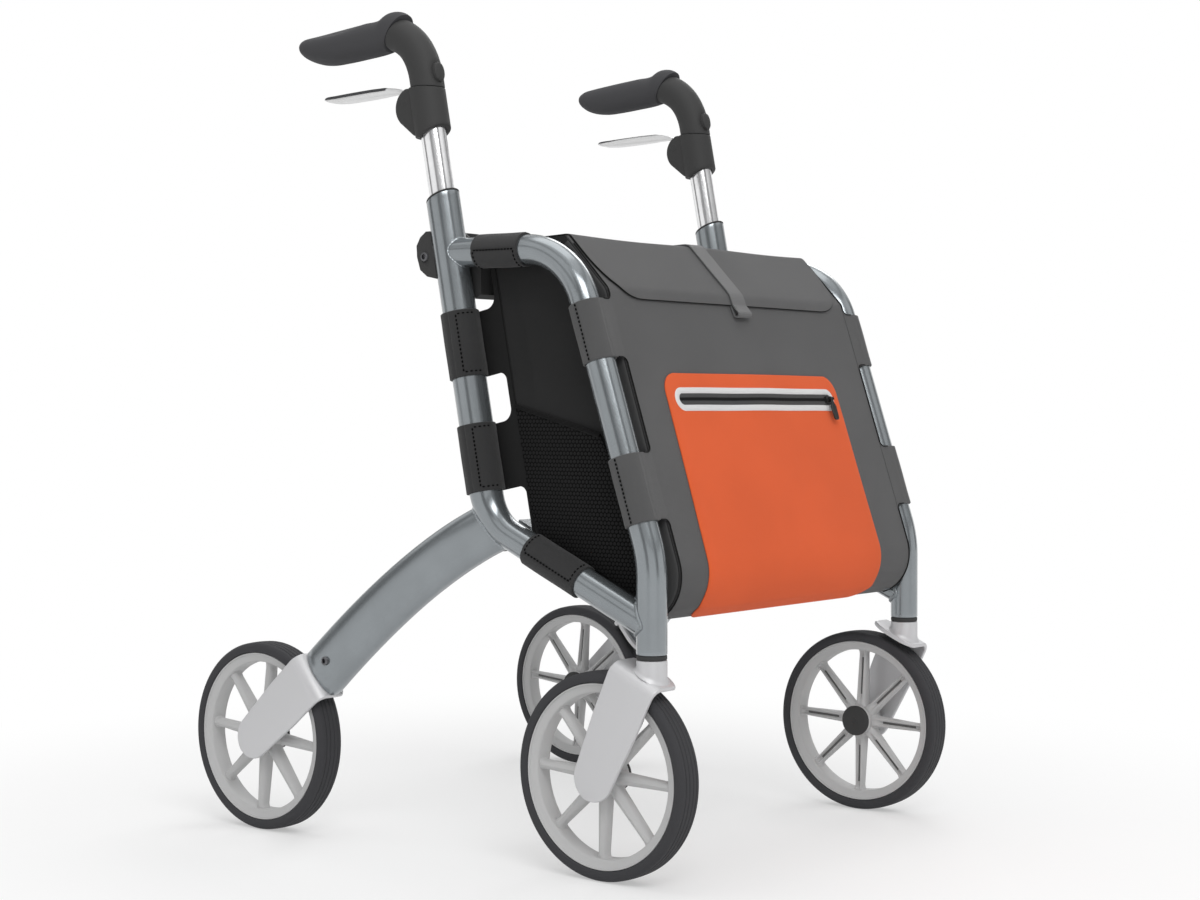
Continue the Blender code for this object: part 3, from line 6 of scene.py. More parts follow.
import bmesh
import bpy
import numpy as np
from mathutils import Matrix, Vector

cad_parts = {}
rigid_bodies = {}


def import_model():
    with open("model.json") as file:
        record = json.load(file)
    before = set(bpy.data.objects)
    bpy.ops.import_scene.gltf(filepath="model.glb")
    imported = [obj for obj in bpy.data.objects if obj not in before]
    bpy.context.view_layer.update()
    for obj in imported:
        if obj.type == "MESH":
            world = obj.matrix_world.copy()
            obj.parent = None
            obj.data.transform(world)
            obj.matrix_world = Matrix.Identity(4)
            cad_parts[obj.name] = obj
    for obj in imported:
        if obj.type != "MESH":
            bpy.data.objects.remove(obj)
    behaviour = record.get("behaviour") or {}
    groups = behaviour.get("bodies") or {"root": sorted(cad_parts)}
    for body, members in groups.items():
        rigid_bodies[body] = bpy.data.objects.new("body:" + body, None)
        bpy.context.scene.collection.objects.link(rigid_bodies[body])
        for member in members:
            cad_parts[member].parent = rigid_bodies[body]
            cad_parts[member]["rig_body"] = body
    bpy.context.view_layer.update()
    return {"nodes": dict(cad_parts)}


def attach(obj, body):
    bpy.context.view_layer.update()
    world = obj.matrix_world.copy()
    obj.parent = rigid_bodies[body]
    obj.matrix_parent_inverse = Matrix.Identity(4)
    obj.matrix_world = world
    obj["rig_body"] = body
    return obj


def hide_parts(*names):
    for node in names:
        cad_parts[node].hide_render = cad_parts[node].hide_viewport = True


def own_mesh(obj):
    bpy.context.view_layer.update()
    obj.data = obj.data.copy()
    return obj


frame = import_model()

bl_info = {
    "name": "Shopping Rollator",
    "version": (1, 0, 0),
    "blender": (4, 5, 0),
    "location": "3D View > Sidebar > Rollator",
    "description": "Builds a folding shopping rollator with wheels, brakes and bag",
    "category": "Object",
}

# Sizes shared by several pieces, in metres. X runs to the user's left, the walk is along -Y.
SIDE_X = -0.2305          # plane of the right side frame
REAR_X = -0.2656          # plane of the right rear wheel
WHEEL_R = 0.100
AXLE_FRONT = (-0.219, WHEEL_R)
AXLE_REAR = (0.219, WHEEL_R)
STEM_Y = -0.2724
STEM_LOW = 0.2190
UPRIGHT_R = 0.0173
TUBE_R = 0.0147
LEAN = math.radians(11.17)
COS_L, SIN_L = math.cos(LEAN), math.sin(LEAN)
UPRIGHT_REF = (-0.0094, 0.6453)
TOP_TUBE_Z = 0.6058
FRONT_AT, FRONT_RATE = (-0.2127, 0.4879), 0.3302   # slanted front tube: a point, run over rise
LOWER_AT, LOWER_RATE = (-0.2529, 0.2541), 0.450    # lower tube: a point, rise over run
TYRE_HALF = 0.01475
FORK_THICK = 0.0045
FORK_REACH = 0.1125
FORK_IN = TYRE_HALF + 0.0038
FRONT_FORK, REAR_FORK = math.radians(64.5), math.radians(40.0)
NECK_R, HOUSING_R = 0.0175, 0.0186
BAG_HALF = 0.2092         # middle plane to the bag front's edge
PANEL_X = -0.2112         # outer face of the right side panel
BAG_SETBACK = 0.0385      # upright's axis to the bag's back
BAG_CORNERS = [(-0.05464, 0.6150), (-0.1515, 0.6185), (-0.2024, 0.5655), (-0.3203, 0.2084),
               (-0.1168, 0.2999)]
GAP = 0.0003


def on_upright(z):
    """Point (Y, Z) on the leaning upright's axis at a height."""
    return np.array([UPRIGHT_REF[0] + (z - UPRIGHT_REF[1]) * math.tan(LEAN), z])


def up_the_upright(distance):
    """Point (Y, Z) at a distance along the upright from its reference point."""
    return np.array([UPRIGHT_REF[0] + distance * SIN_L, UPRIGHT_REF[1] + distance * COS_L])


def on_front_tube(z):
    """Point (Y, Z) on the slanted front tube's axis at a height."""
    return np.array([FRONT_AT[0] - FRONT_RATE * (FRONT_AT[1] - z), z])


def on_lower_tube(y):
    """Point (Y, Z) on the lower tube's axis at a Y."""
    return np.array([y, LOWER_AT[1] + LOWER_RATE * (y - LOWER_AT[0])])


# Shapes: whole arrays of points, rows along a piece and columns across it.
def turns(count):
    """Angles spaced evenly round a full turn."""
    return np.linspace(0, 2 * np.pi, count, endpoint=False)


def spokes_round(t, a, b):
    """The directions cos(t) a + sin(t) b."""
    a, b = np.asarray(a, float), np.asarray(b, float)
    return np.cos(t)[..., None] * a + np.sin(t)[..., None] * b


def run_of(path):
    """Distance along a path at each of its points."""
    return np.concatenate([[0], np.cumsum(np.linalg.norm(np.diff(path, axis=0), axis=1))])


def quads_of(rows, cols, ring=False, around=False):
    """Point numbers of the quads between rows and columns, and each quad's row and column."""
    i, j = np.meshgrid(np.arange(rows if ring else rows - 1),
                       np.arange(cols if around else cols - 1), indexing="ij")
    down, right = (i + 1) % rows, (j + 1) % cols
    quads = [i * cols + j, i * cols + right, down * cols + right, down * cols + j]
    return np.stack(quads, -1), i, j


class Shell:
    """One closed surface: points, faces of equal corner count in blocks, and corner UVs."""

    def __init__(self, points, blocks, uvs, finish=0):
        self.points, self.blocks, self.uvs, self.finish = points, blocks, uvs, finish

    def outward(self):
        """Turns the faces round where the enclosed volume, the sum of a . (b x c) / 6 over
        a fan of triangles in each face, comes out negative."""
        volume = 0.0
        for faces in self.blocks:
            a = self.points[faces[:, 0]]
            for k in range(1, faces.shape[1] - 1):
                b, c = self.points[faces[:, k]], self.points[faces[:, k + 1]]
                volume += float((a * np.cross(b, c)).sum()) / 6
        if volume < 0:
            self.blocks = [faces[:, ::-1] for faces in self.blocks]
            self.uvs = [uv[:, ::-1] for uv in self.uvs]
        return self


def grid(points, around=False, ring=False, finish=0, caps=True):
    """Quads between the rows and columns of points[i, j]. around joins the last column to the
    first, ring the last row to the first; open ends of a tube are closed by a flat face."""
    rows, cols = points.shape[:2]
    quads, i, j = quads_of(rows, cols, ring, around)
    step_v = np.linalg.norm(np.diff(points, axis=0), axis=2).mean(1)
    step_u = np.linalg.norm(np.roll(points, -1, 1) - points, axis=2).mean(0)
    v = np.concatenate([[0], np.cumsum(step_v), [step_v.sum() + 0.001]])
    u = np.concatenate([[0], np.cumsum(step_u)])
    corner = [np.stack([u[j + a], v[i + b]], -1) for a, b in ((0, 0), (1, 0), (1, 1), (0, 1))]
    blocks, uvs = [quads.reshape(-1, 4)], [np.stack(corner, 2).reshape(-1, 4, 2)]
    if around and not ring and caps:
        for face in (np.arange(cols)[::-1], (rows - 1) * cols + np.arange(cols)):
            blocks.append(face[None])
            uvs.append(np.zeros((1, cols, 2)))
    return Shell(points.reshape(-1, 3), blocks, uvs, finish)


def sheet_uv(points):
    """Distances along a grid: across from its middle column and down from its first row."""
    v = np.cumsum(np.linalg.norm(np.diff(points, axis=0), axis=2).mean(1))
    u = np.cumsum(np.linalg.norm(np.diff(points, axis=1), axis=2), 1)
    u = np.concatenate([np.zeros((len(points), 1)), u], 1)
    u = u - u.mean(1, keepdims=True)
    return np.stack([u, np.broadcast_to(np.concatenate([[0], v])[:, None], u.shape)], -1)


def between(top, low, finish=0, uv=None):
    """Two grids of one shape closed into one body by strips along their four edges."""
    rows, cols = top.shape[:2]
    count = rows * cols
    face = quads_of(rows, cols)[0].reshape(-1, 4)
    r, c = np.arange(rows - 1), np.arange(cols - 1)
    first, last, end = r * cols, r * cols + cols - 1, (rows - 1) * cols
    strips = [np.stack([first, first + cols, first + cols + count, first + count], -1),
              np.stack([last, last + count, last + cols + count, last + cols], -1),
              np.stack([c, c + count, c + 1 + count, c + 1], -1),
              np.stack([end + c, end + c + 1, end + c + 1 + count, end + c + count], -1)]
    uv = sheet_uv(top) if uv is None else uv
    both = np.concatenate([uv.reshape(-1, 2)] * 2)
    faces = np.concatenate([face, (face + count)[:, ::-1]] + strips)
    return Shell(np.concatenate([top.reshape(-1, 3), low.reshape(-1, 3)]), [faces], [both[faces]],
                 finish)


def cloth(points, thickness, finish=0):
    """A sheet with two faces and closed edges: each point moves half the thickness both ways
    along the surface's normal, which is the cross product of its two grid directions."""
    normal = unit(np.cross(np.gradient(points, axis=1), np.gradient(points, axis=0)))
    half = normal * (thickness / 2)
    return between(points + half, points - half, finish, sheet_uv(points))


def mirrored(shells):
    """The same shells on the other side of the middle plane, X changed to -X."""
    flipped = []
    for shell in shells:
        points = shell.points * np.array([-1.0, 1.0, 1.0])
        flipped.append(Shell(points, [f[:, ::-1] for f in shell.blocks],
                             [uv[:, ::-1] for uv in shell.uvs], shell.finish))
    return flipped


def make_piece(name, shells, finishes, body, replaces=(), sharp=35.0, closed=True):
    """Puts shells into one mesh with foreach_set, names its finishes and lets it ride."""
    if closed:
        shells = [shell.outward() for shell in shells]
    mesh = bpy.data.meshes.new(name)
    points = np.concatenate([shell.points for shell in shells])
    corners, sizes, coords, marks = [], [], [], []
    base = 0
    for shell in shells:
        for faces, uv in zip(shell.blocks, shell.uvs):
            corners.append((faces + base).ravel())
            sizes.append(np.full(len(faces), faces.shape[1]))
            coords.append(uv.reshape(-1, 2))
            marks.append(np.full(len(faces), shell.finish))
        base += len(shell.points)
    corners, sizes = np.concatenate(corners), np.concatenate(sizes)
    mesh.vertices.add(len(points))
    mesh.vertices.foreach_set("co", points.astype(np.float32).ravel())
    mesh.loops.add(len(corners))
    mesh.loops.foreach_set("vertex_index", corners.astype(np.int32))
    mesh.polygons.add(len(sizes))
    starts = np.concatenate([[0], np.cumsum(sizes)[:-1]])
    mesh.polygons.foreach_set("loop_start", starts.astype(np.int32))
    mesh.polygons.foreach_set("material_index", np.concatenate(marks).astype(np.int32))
    mesh.update(calc_edges=True)
    layer = mesh.uv_layers.new(name="cloth")
    layer.data.foreach_set("uv", np.concatenate(coords).astype(np.float32).ravel())
    mesh.validate()
    mesh.shade_smooth()
    mesh.set_sharp_from_angle(angle=math.radians(sharp))
    for finish in finishes:
        mesh.materials.append(bpy.data.materials[finish])
    obj = bpy.data.objects.new(name, mesh)
    bpy.context.scene.collection.objects.link(obj)
    if body:
        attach(obj, body)
    if replaces:
        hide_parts(*replaces)
    return obj


def make_pair(name, shells, finishes, body, node="", sharp=35.0):
    """The right-hand piece and its mirror image, each riding on its own side's body."""
    made = []
    for side, own in (("right", shells), ("left", mirrored(shells))):
        nodes = (node + "_" + side,) if node else ()
        rides_on = side + "_frame" if body == "frame" else body + "_" + side
        made.append(make_piece(name + "_" + side, own, finishes, rides_on, nodes, sharp))
    return made


def through(points, count):
    """A smooth curve through points: cubic pieces whose slope at a point is the chord
    between its neighbours, spaced evenly by chord length."""
    points = np.asarray(points, float)
    chord = run_of(points)
    slope = np.gradient(points, chord, axis=0)
    t = np.linspace(0, chord[-1], count)
    k = np.clip(np.searchsorted(chord, t, side="right") - 1, 0, len(points) - 2)
    width = (chord[k + 1] - chord[k])[:, None]
    s = (t - chord[k])[:, None] / width
    return ((2 * s ** 3 - 3 * s ** 2 + 1) * points[k]
            + (s ** 3 - 2 * s ** 2 + s) * width * slope[k]
            + (3 * s ** 2 - 2 * s ** 3) * points[k + 1]
            + (s ** 3 - s ** 2) * width * slope[k + 1])


def rounded(corners, radii, steps=8):
    """A path through corners, each turned by an arc: a point of the arc is the mix of its two
    end radii by sin((1-t)a)/sin(a) and sin(ta)/sin(a)."""
    corners, points = np.array(corners, float), []
    for i, (corner, radius) in enumerate(zip(corners, radii)):
        if radius <= 0:
            points.append(corner)
            continue
        before = unit(corners[i - 1] - corner)
        after = unit(corners[(i + 1) % len(corners)] - corner)
        half = math.acos(max(-1.0, min(1.0, float(before @ after)))) / 2
        reach = radius / math.tan(half)
        centre = corner + unit(before + after) * radius / math.sin(half)
        start, end = corner + before * reach - centre, corner + after * reach - centre
        sweep = math.acos(max(-1.0, min(1.0, float(start @ end) / radius ** 2)))
        t = np.linspace(0, 1, steps + 1)[:, None]
        arc = (np.sin((1 - t) * sweep) * start + np.sin(t * sweep) * end) / math.sin(sweep)
        points.extend(centre + arc)
    return np.array(points)


def evenly(path, count):
    """Points at equal distances along a path of straight pieces."""
    path = np.asarray(path, float)
    chord = run_of(path)
    t = np.linspace(0, chord[-1], count)
    return np.stack([np.interp(t, chord, path[:, k]) for k in range(path.shape[1])], 1)


def in_plane(path, x):
    """Points (Y, Z) set at one X each, or all at the same."""
    path, x = np.asarray(path, float), np.asarray(x, float)[..., None]
    return np.concatenate([np.broadcast_to(x, path.shape[:-1] + (1,)), path], -1)


def unit(v):
    v = np.asarray(v, float)
    return v / np.maximum(np.linalg.norm(v, axis=-1, keepdims=True), 1e-12)


def sweep(path, section, side=(1, 0, 0)):
    """A section of (a, b) pairs carried along a path: each point is the path's point plus a
    times the side direction plus b times the direction square to it and to the path."""
    path = np.asarray(path, float)
    tangent = unit(np.gradient(path, axis=0))
    side = np.broadcast_to(np.asarray(side, float), path.shape)
    a = unit(side - tangent * (side * tangent).sum(1, keepdims=True))
    b = np.cross(tangent, a)
    section = np.asarray(section, float)
    if section.ndim == 2:
        section = np.broadcast_to(section, (len(path),) + section.shape)
    return (path[:, None] + section[..., :1] * a[:, None] + section[..., 1:] * b[:, None])


def circle(radius, count=40):
    """Points radius * (cos t, sin t) round a full turn; radius may be one number per row."""
    return np.multiply.outer(np.asarray(radius, float), spokes_round(turns(count), (1, 0), (0, 1)))


def turned(profile, base=(0, 0, 0), steps=56, direction=(1, 0, 0), ring=True):
    """A profile of (radius, along) pairs turned about a direction through a base point."""
    direction = unit(direction)
    side = np.array([0.0, 1.0, 0.0] if abs(direction[0]) > 0.9 else [1.0, 0.0, 0.0])
    a = unit(side - direction * float(side @ direction))
    spoke = spokes_round(turns(steps), a, np.cross(direction, a))
    profile = np.asarray(profile, float)
    points = (np.array(base, float) + profile[:, :1, None] * spoke[None]
              + profile[:, 1:, None] * direction)
    return grid(points, around=True, ring=ring)


def oval_ring(half_a, half_b, power, count=44):
    """A superellipse: |a|^p + |b|^p = 1 scaled by its two half widths."""
    c, s = np.cos(turns(count)), np.sin(turns(count))
    bulge = (np.abs(c) ** power + np.abs(s) ** power) ** (-1 / power)
    return np.stack([np.multiply.outer(half_a, c * bulge),
                     np.multiply.outer(half_b, s * bulge)], -1)


def plate(outline, low, high, edge=0.0008, edge_high=None, steps=4):
    """A flat outline in (a, b) given thickness along c, its two rims eased by a quarter round:
    the outline moves in by edge*(1-sin t) while c moves by edge*(1-cos t)."""
    outline = np.asarray(outline, float)
    step = unit(np.roll(outline, -1, 0) - outline)
    mean = unit(step + np.roll(step, 1, 0))
    after = np.roll(outline, -1, 0)
    area = (outline[:, 0] * after[:, 1] - after[:, 0] * outline[:, 1]).sum()
    inward = np.stack([-mean[:, 1], mean[:, 0]], 1) * np.sign(area)
    top = edge if edge_high is None else edge_high
    t = np.linspace(0, np.pi / 2, steps)
    shift = np.concatenate([edge * (1 - np.sin(t)), top * (1 - np.cos(t))])
    level = np.concatenate([low + edge * (1 - np.cos(t)), high - top * (1 - np.sin(t))])
    rows = outline[None] + inward[None] * shift[:, None, None]
    return np.concatenate([rows, np.broadcast_to(level[:, None, None], rows.shape[:2] + (1,))], -1)


def block(outline, low, high, a, b, c, origin, *edges):
    """A plate whose outline and thickness are taken to world directions a, b and c."""
    points = plate(outline, low, high, *edges)
    return grid(points @ np.array([a, b, c], float) + np.array(origin, float), around=True)


def softened(node, name, finish, bevel, body=None, segments=2, reshape=None):
    """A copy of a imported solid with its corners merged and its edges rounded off; reshape
    maps its points to new places."""
    source = frame["nodes"][node]
    mesh = source.data.copy()
    work = bmesh.new()
    work.from_mesh(mesh)
    bmesh.ops.remove_doubles(work, verts=work.verts, dist=0.00002)
    bmesh.ops.dissolve_limit(work, angle_limit=math.radians(1.0), verts=work.verts,
                             edges=work.edges)
    work.to_mesh(mesh)
    work.free()
    if reshape:
        flat = np.empty(len(mesh.vertices) * 3)
        mesh.vertices.foreach_get("co", flat)
        mesh.vertices.foreach_set("co", reshape(flat.reshape(-1, 3)).ravel())
    mesh.materials.clear()
    mesh.materials.append(bpy.data.materials[finish])
    mesh.shade_smooth()
    mesh.set_sharp_from_angle(angle=math.radians(32))
    obj = bpy.data.objects.new(name, mesh)
    bpy.context.scene.collection.objects.link(obj)
    edge = obj.modifiers.new("eased_edges", "BEVEL")
    edge.width = bevel
    edge.segments = segments
    edge.limit_method = "ANGLE"
    edge.angle_limit = math.radians(38)
    edge.harden_normals = True
    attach(obj, body or source["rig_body"])
    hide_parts(node)
    return obj


# Finishes: every colour, grain and bump is worked out by nodes on the object's own coordinates.
class Flow:
    """A shader socket; arithmetic on it adds Math nodes."""

    def __init__(self, finish, socket):
        self.finish, self.socket = finish, socket

    def maths(self, operation, *values):
        return self.finish.node("ShaderNodeMath", {"operation": operation},
                                **{"_%d" % i: value for i, value in enumerate(values)})

    def __add__(self, other):
        return self.maths("ADD", self, other)

    __radd__ = __add__

    def __mul__(self, other):
        return self.maths("MULTIPLY", self, other)

    __rmul__ = __mul__

    def __sub__(self, other):
        return self.maths("SUBTRACT", self, other)

    def __rsub__(self, other):
        return self.maths("SUBTRACT", other, self)

    def __truediv__(self, other):
        return self.maths("DIVIDE", self, other)

    def __pow__(self, other):
        return self.maths("POWER", self, other)

    def absolute(self):
        return self.maths("ABSOLUTE", self)

    def wave(self):
        return self.maths("SINE", self)

    def part(self):
        return self.maths("FRACT", self)

    def whole(self):
        return self.maths("FLOOR", self)

    def most(self, other):
        return self.maths("MAXIMUM", self, other)

    def ease(self, low, high, to_low=0.0, to_high=1.0):
        """Smooth step from low to high."""
        return self.finish.node("ShaderNodeMapRange", {"interpolation_type": "SMOOTHSTEP"},
                                Value=self, From_Min=low, From_Max=high, To_Min=to_low,
                                To_Max=to_high)


class Graph:
    """A node tree and the one way its nodes are made."""

    def __init__(self, tree):
        self.tree, self._place = tree, None

    def node(self, kind, settings=None, output=0, **sockets):
        """Adds a node, sets its settings, then the values or links of its sockets."""
        made = self.tree.nodes.new(kind)
        for key, value in (settings or {}).items():
            setattr(made, key, value)
        for key, value in sockets.items():
            index = int(key[1:]) if key[0] == "_" else key.replace("_", " ")
            if isinstance(value, Flow):
                self.tree.links.new(value.socket, made.inputs[index])
            else:
                made.inputs[index].default_value = value
        return Flow(self, made.outputs[output])

    def place(self):
        """The object's own coordinates, in metres."""
        if self._place is None:
            self._place = self.node("ShaderNodeTexCoord", output=3)
        return self._place

    def cloth_place(self):
        """The two coordinates that follow the cloth, in metres."""
        return self.node("ShaderNodeUVMap", {"uv_map": "cloth"})

    def apart(self, vector):
        outputs = self.node("ShaderNodeSeparateXYZ", _0=vector).socket.node.outputs
        return [Flow(self, outputs[k]) for k in range(3)]

    def noise(self, scale, detail=2.0, stretch=None):
        at = self.place()
        if stretch:
            at = self.node("ShaderNodeMapping", Vector=at, Scale=stretch)
        return self.node("ShaderNodeTexNoise", Vector=at, Scale=scale, Detail=detail,
                         Roughness=0.5)

    def cells(self, scale):
        return self.node("ShaderNodeTexVoronoi", Vector=self.place(), Scale=scale, Randomness=1.0)

    def blend(self, factor, first, second):
        """Mixes two colours by a factor."""
        colours = [c if isinstance(c, Flow) else (*c, 1.0) for c in (first, second)]
        return self.node("ShaderNodeMix", {"data_type": "RGBA"}, output=2, _0=factor,
                         _6=colours[0], _7=colours[1])

    def shown(self):
        """1 for a ray from the camera, a mirror or glass, and the mirror's share of it."""
        rays = self.node("ShaderNodeLightPath").socket.node.outputs
        camera, glossy, glass = (Flow(self, rays["Is %s Ray" % kind])
                                 for kind in ("Camera", "Glossy", "Transmission"))
        return camera.most(glossy).most(glass), glossy


class Finish(Graph):
    """A material under construction."""

    def __init__(self, name, roughness, metallic=0.0, **fixed):
        self.material = bpy.data.materials.new(name)
        self.material.use_nodes = True
        super().__init__(self.material.node_tree)
        self.shader = self.tree.nodes["Principled BSDF"]
        for socket, value in dict(fixed, Roughness=roughness, Metallic=metallic).items():
            self.shader.inputs[socket.replace("_", " ")].default_value = value

    def wear(self):
        """Share of an edge: pointiness above its flat value, from the surface's curvature."""
        return self.node("ShaderNodeNewGeometry", output=7).ease(0.51, 0.59)

    def done(self, colour, roughness, bump, depth, coat=None):
        """Links the colour and roughness and makes the bump, a height times a depth."""
        made = self.node("ShaderNodeBump", Height=bump, Strength=1.0, Distance=depth)
        for name, flow in (("Base Color", colour), ("Roughness", roughness), ("Normal", made)):
            self.tree.links.new(flow.socket, self.shader.inputs[name])
        if coat is not None:
            self.shader.inputs["Coat Weight"].default_value = coat


def shade(colour, factor):
    return tuple(min(1.0, c * factor) for c in colour)


# Frames
ELBOW_Y = (UPRIGHT_REF[0] + math.tan(LEAN) * (on_lower_tube(0)[1] - UPRIGHT_REF[1])) \
    / (1 - math.tan(LEAN) * LOWER_RATE)
ELBOW = on_lower_tube(ELBOW_Y)
TOP_CORNER = on_front_tube(0.6046)
STEM_CORNER = np.array([STEM_Y, FRONT_AT[1] - (FRONT_AT[0] - STEM_Y) / FRONT_RATE])
MAIN_PATH = evenly(rounded([up_the_upright(0.0175), ELBOW, on_lower_tube(STEM_Y + 0.0035)],
                           [0, 0.060, 0], 30), 130)
LOOP_PATH = evenly(rounded([(on_upright(TOP_TUBE_Z)[0] - 0.002, 0.6064), TOP_CORNER, STEM_CORNER,
                            (STEM_Y, STEM_LOW)], [0, 0.078, 0.120, 0], 30), 130)
UP = np.array([0.0, SIN_L, COS_L])
BACK = np.array([0.0, COS_L, -SIN_L])
MOUTH_TILT = LEAN + math.radians(15.0)
MOUTH_UP = np.array([0.0, math.sin(MOUTH_TILT), math.cos(MOUTH_TILT)])
MOUTH_AT = np.array([SIDE_X, *up_the_upright(0.0175)])
SLOPE = math.atan(LOWER_RATE)
FOLD_UP = np.array([0.0, math.cos(SLOPE), math.sin(SLOPE)])
FOLD_AXIS = np.array([0.0, -math.sin(SLOPE), math.cos(SLOPE)])
FRONT_PIVOT = (STEM_Y + 0.0146, on_lower_tube(STEM_Y + 0.0146)[1] + 0.0150)


def onto_plane(points, along, at, normal):
    """Slides each point along a direction until it lies in a plane."""
    along = unit(along)
    return points - (((points - at) @ normal) / float(along @ normal))[:, None] * along


def mouth_ring(radius, drop):
    """A circle round the upright slid along it onto the slanted mouth, then down by a drop."""
    ring = MOUTH_AT + radius * spokes_round(turns(56), (1, 0, 0), BACK)
    return onto_plane(ring, UP, MOUTH_AT, MOUTH_UP) - drop * UP


def main_radius(z):
    """The bent tube's radius at a height of its axis, easing from the upright's to the lower
    tube's by the smooth step b^2 (3 - 2b)."""
    blend = np.clip((ELBOW[1] + 0.040 - z) / 0.060, 0, 1)
    return UPRIGHT_R + (TUBE_R - UPRIGHT_R) * blend * blend * (3 - 2 * blend)


def upright_tube():
    """The bent main tube: circles carried down the upright, round the elbow and along the
    lower tube, the radius easing from the upright's to the tube's. The first circles slide
    onto the slanted mouth, and the wall turns in there and goes down as the bore."""
    path = in_plane(MAIN_PATH, SIDE_X)
    outer = sweep(path, circle(main_radius(path[:, 2]), 56))
    slide = onto_plane(outer[0], UP, MOUTH_AT, MOUTH_UP) - outer[0]
    outer = outer + np.clip(1 - run_of(path) / 0.030, 0, 1)[:, None, None] * slide
    first = outer[0] - path[0]
    first = unit(first - (first @ UP)[:, None] * UP)
    rows = [path[0] + first * 0.0158 - 0.235 * UP]
    rows += [onto_plane(path[0] + first * radius, UP, MOUTH_AT, MOUTH_UP) - drop * UP
             for radius, drop in ((0.0158, 0.0007), (0.0163, 0.0001), (0.0168, 0.0),
                                  (0.0172, 0.0004), (0.0173, 0.0012))]
    return grid(np.concatenate([np.array(rows), outer[1:]]), around=True)


def loop_tube():
    """The front loop: circles carried along the top tube, down the slanted front and into the
    caster stem, whose open end turns in to the bearing's bore."""
    path = in_plane(LOOP_PATH, SIDE_X)
    outer = sweep(path, circle(TUBE_R, 56))
    spoke = unit(outer[-1] - path[-1])
    foot = np.array([SIDE_X, STEM_Y, STEM_LOW])
    rows = [foot + spoke * r + np.array([0, 0, up]) for r, up in
            ((TUBE_R, 0.0010), (TUBE_R - 0.0004, 0.0002), (TUBE_R - 0.0012, 0.0),
             (0.0118, 0.0), (0.0114, 0.0006), (0.0114, 0.056))]
    return grid(np.concatenate([outer[:-1], np.array(rows)]), around=True)


LEG_UP = np.array([0.0, -math.cos(REAR_FORK), math.sin(REAR_FORK)])
LEG_START = np.array([SIDE_X, ELBOW[0] + 0.004, ELBOW[1] - 0.008])
LEG_KNEE = np.array([SIDE_X - 0.012, 0.0255, 0.2850])
LEG_END = np.array([REAR_X, *AXLE_REAR]) + LEG_UP * (FORK_REACH + GAP)


def leg_rings(t, grow=0.0, count=64):
    """Ovals along a quadratic curve (1-t)^2 a + 2t(1-t) b + t^2 c, a little deeper towards the
    wheel and thinner towards the elbow; each oval is |u|^3 + |v|^3 = 1 scaled by its half
    widths, with two flat faces a side that meet in a low ridge above the middle."""
    t = np.atleast_1d(np.asarray(t, float))[:, None]
    place = (1 - t) ** 2 * LEG_START + 2 * t * (1 - t) * LEG_KNEE + t ** 2 * LEG_END
    tangent = unit((1 - t) * (LEG_KNEE - LEG_START) + t * (LEG_END - LEG_KNEE))
    turn = np.clip((t - 0.86) / 0.14, 0, 1) ** 2
    tangent = unit(tangent * (1 - turn) - LEG_UP * turn)
    side = np.array([1.0, 0, 0]) - tangent * tangent[:, :1]
    side = unit(side)
    normal = np.cross(tangent, side)
    thin = 0.0014 * np.clip(1 - t[:, 0] / 0.22, 0, 1) ** 2
    ring = oval_ring(0.0150 - thin + grow,
                     0.055 * (0.95 + 0.07 * t[:, 0]) / 2 + grow, 3.0, count)
    ring[..., 0] *= 0.84 + 0.16 * (1 - np.abs(ring[..., 1] / 0.0275 + 0.12))
    return place[:, None] + ring[..., :1] * side[:, None] + ring[..., 1:] * normal[:, None]


def leg_traced(level, count=64):
    """Where the leg's lines, traced back towards the elbow, reach a depth under the bent
    tube's surface: the curve's parameter for each line."""
    t = np.linspace(0.5, -0.34, 337)
    rings = leg_rings(t, 0.0, count)
    path = in_plane(MAIN_PATH, SIDE_X)
    far = np.linalg.norm(rings[:, :, None] - path[None, None], axis=-1)
    clear = far.min(-1) - main_radius(path[far.argmin(-1), 2])
    under = clear < -level
    first = np.where(under.any(0), under.argmax(0), clear.argmin(0))
    return t[first]


def leg_at(t):
    """Points of the leg's lines at parameters that may differ from line to line."""
    table = leg_rings(np.linspace(-0.34, 1, 403), 0.0, t.shape[1])
    k = (t + 0.34) / 1.34 * 402
    low = np.clip(k.astype(int), 0, 401)
    share = (k - low)[..., None]
    line = np.arange(t.shape[1])[None]
    return table[low, line] * (1 - share) + table[low + 1, line] * share


def rear_leg():
    """The arched leg: its lines begin just under the bent tube's surface, so that it is
    notched to the elbow; its other end is square to the rear fork, its rim rounded over."""
    start = leg_traced(0.0009)
    s = np.linspace(0, 1, 60)[:, None]
    rows = leg_at(start + (1 - start) * s)
    end = [leg_rings(1.0)[0] + LEG_UP * 0.0012, leg_rings(1.0, -0.0004)[0] + LEG_UP * 0.0003,
           leg_rings(1.0, -0.0013)[0]]
    return grid(np.concatenate([rows[:-2], np.array(end)]), around=True)


def bead(loop, radius=0.0021, wave=0.0034, rows=None):
    """A weld bead: small circles round a closed curve, each swollen by a sine of the distance
    along it, so that it shows the ripples of the puddle."""
    loop = evenly(np.concatenate([loop, loop[:1]]), (rows or 150) + 1)[:-1]
    tangent = unit(np.roll(loop, -1, 0) - np.roll(loop, 1, 0))
    out = loop - loop.mean(0)
    a = unit(out - tangent * (out * tangent).sum(1, keepdims=True))
    b = np.cross(tangent, a)
    run = np.cumsum(np.linalg.norm(loop - np.roll(loop, 1, 0), axis=1))
    ripple = radius * (1 + 0.11 * np.sin(2 * np.pi * run / wave) + 0.10 * np.sin(run / 0.011))
    points = loop[:, None] + ripple[:, None, None] * spokes_round(turns(9), a[:, None], b[:, None])
    return grid(points, around=True, ring=True)


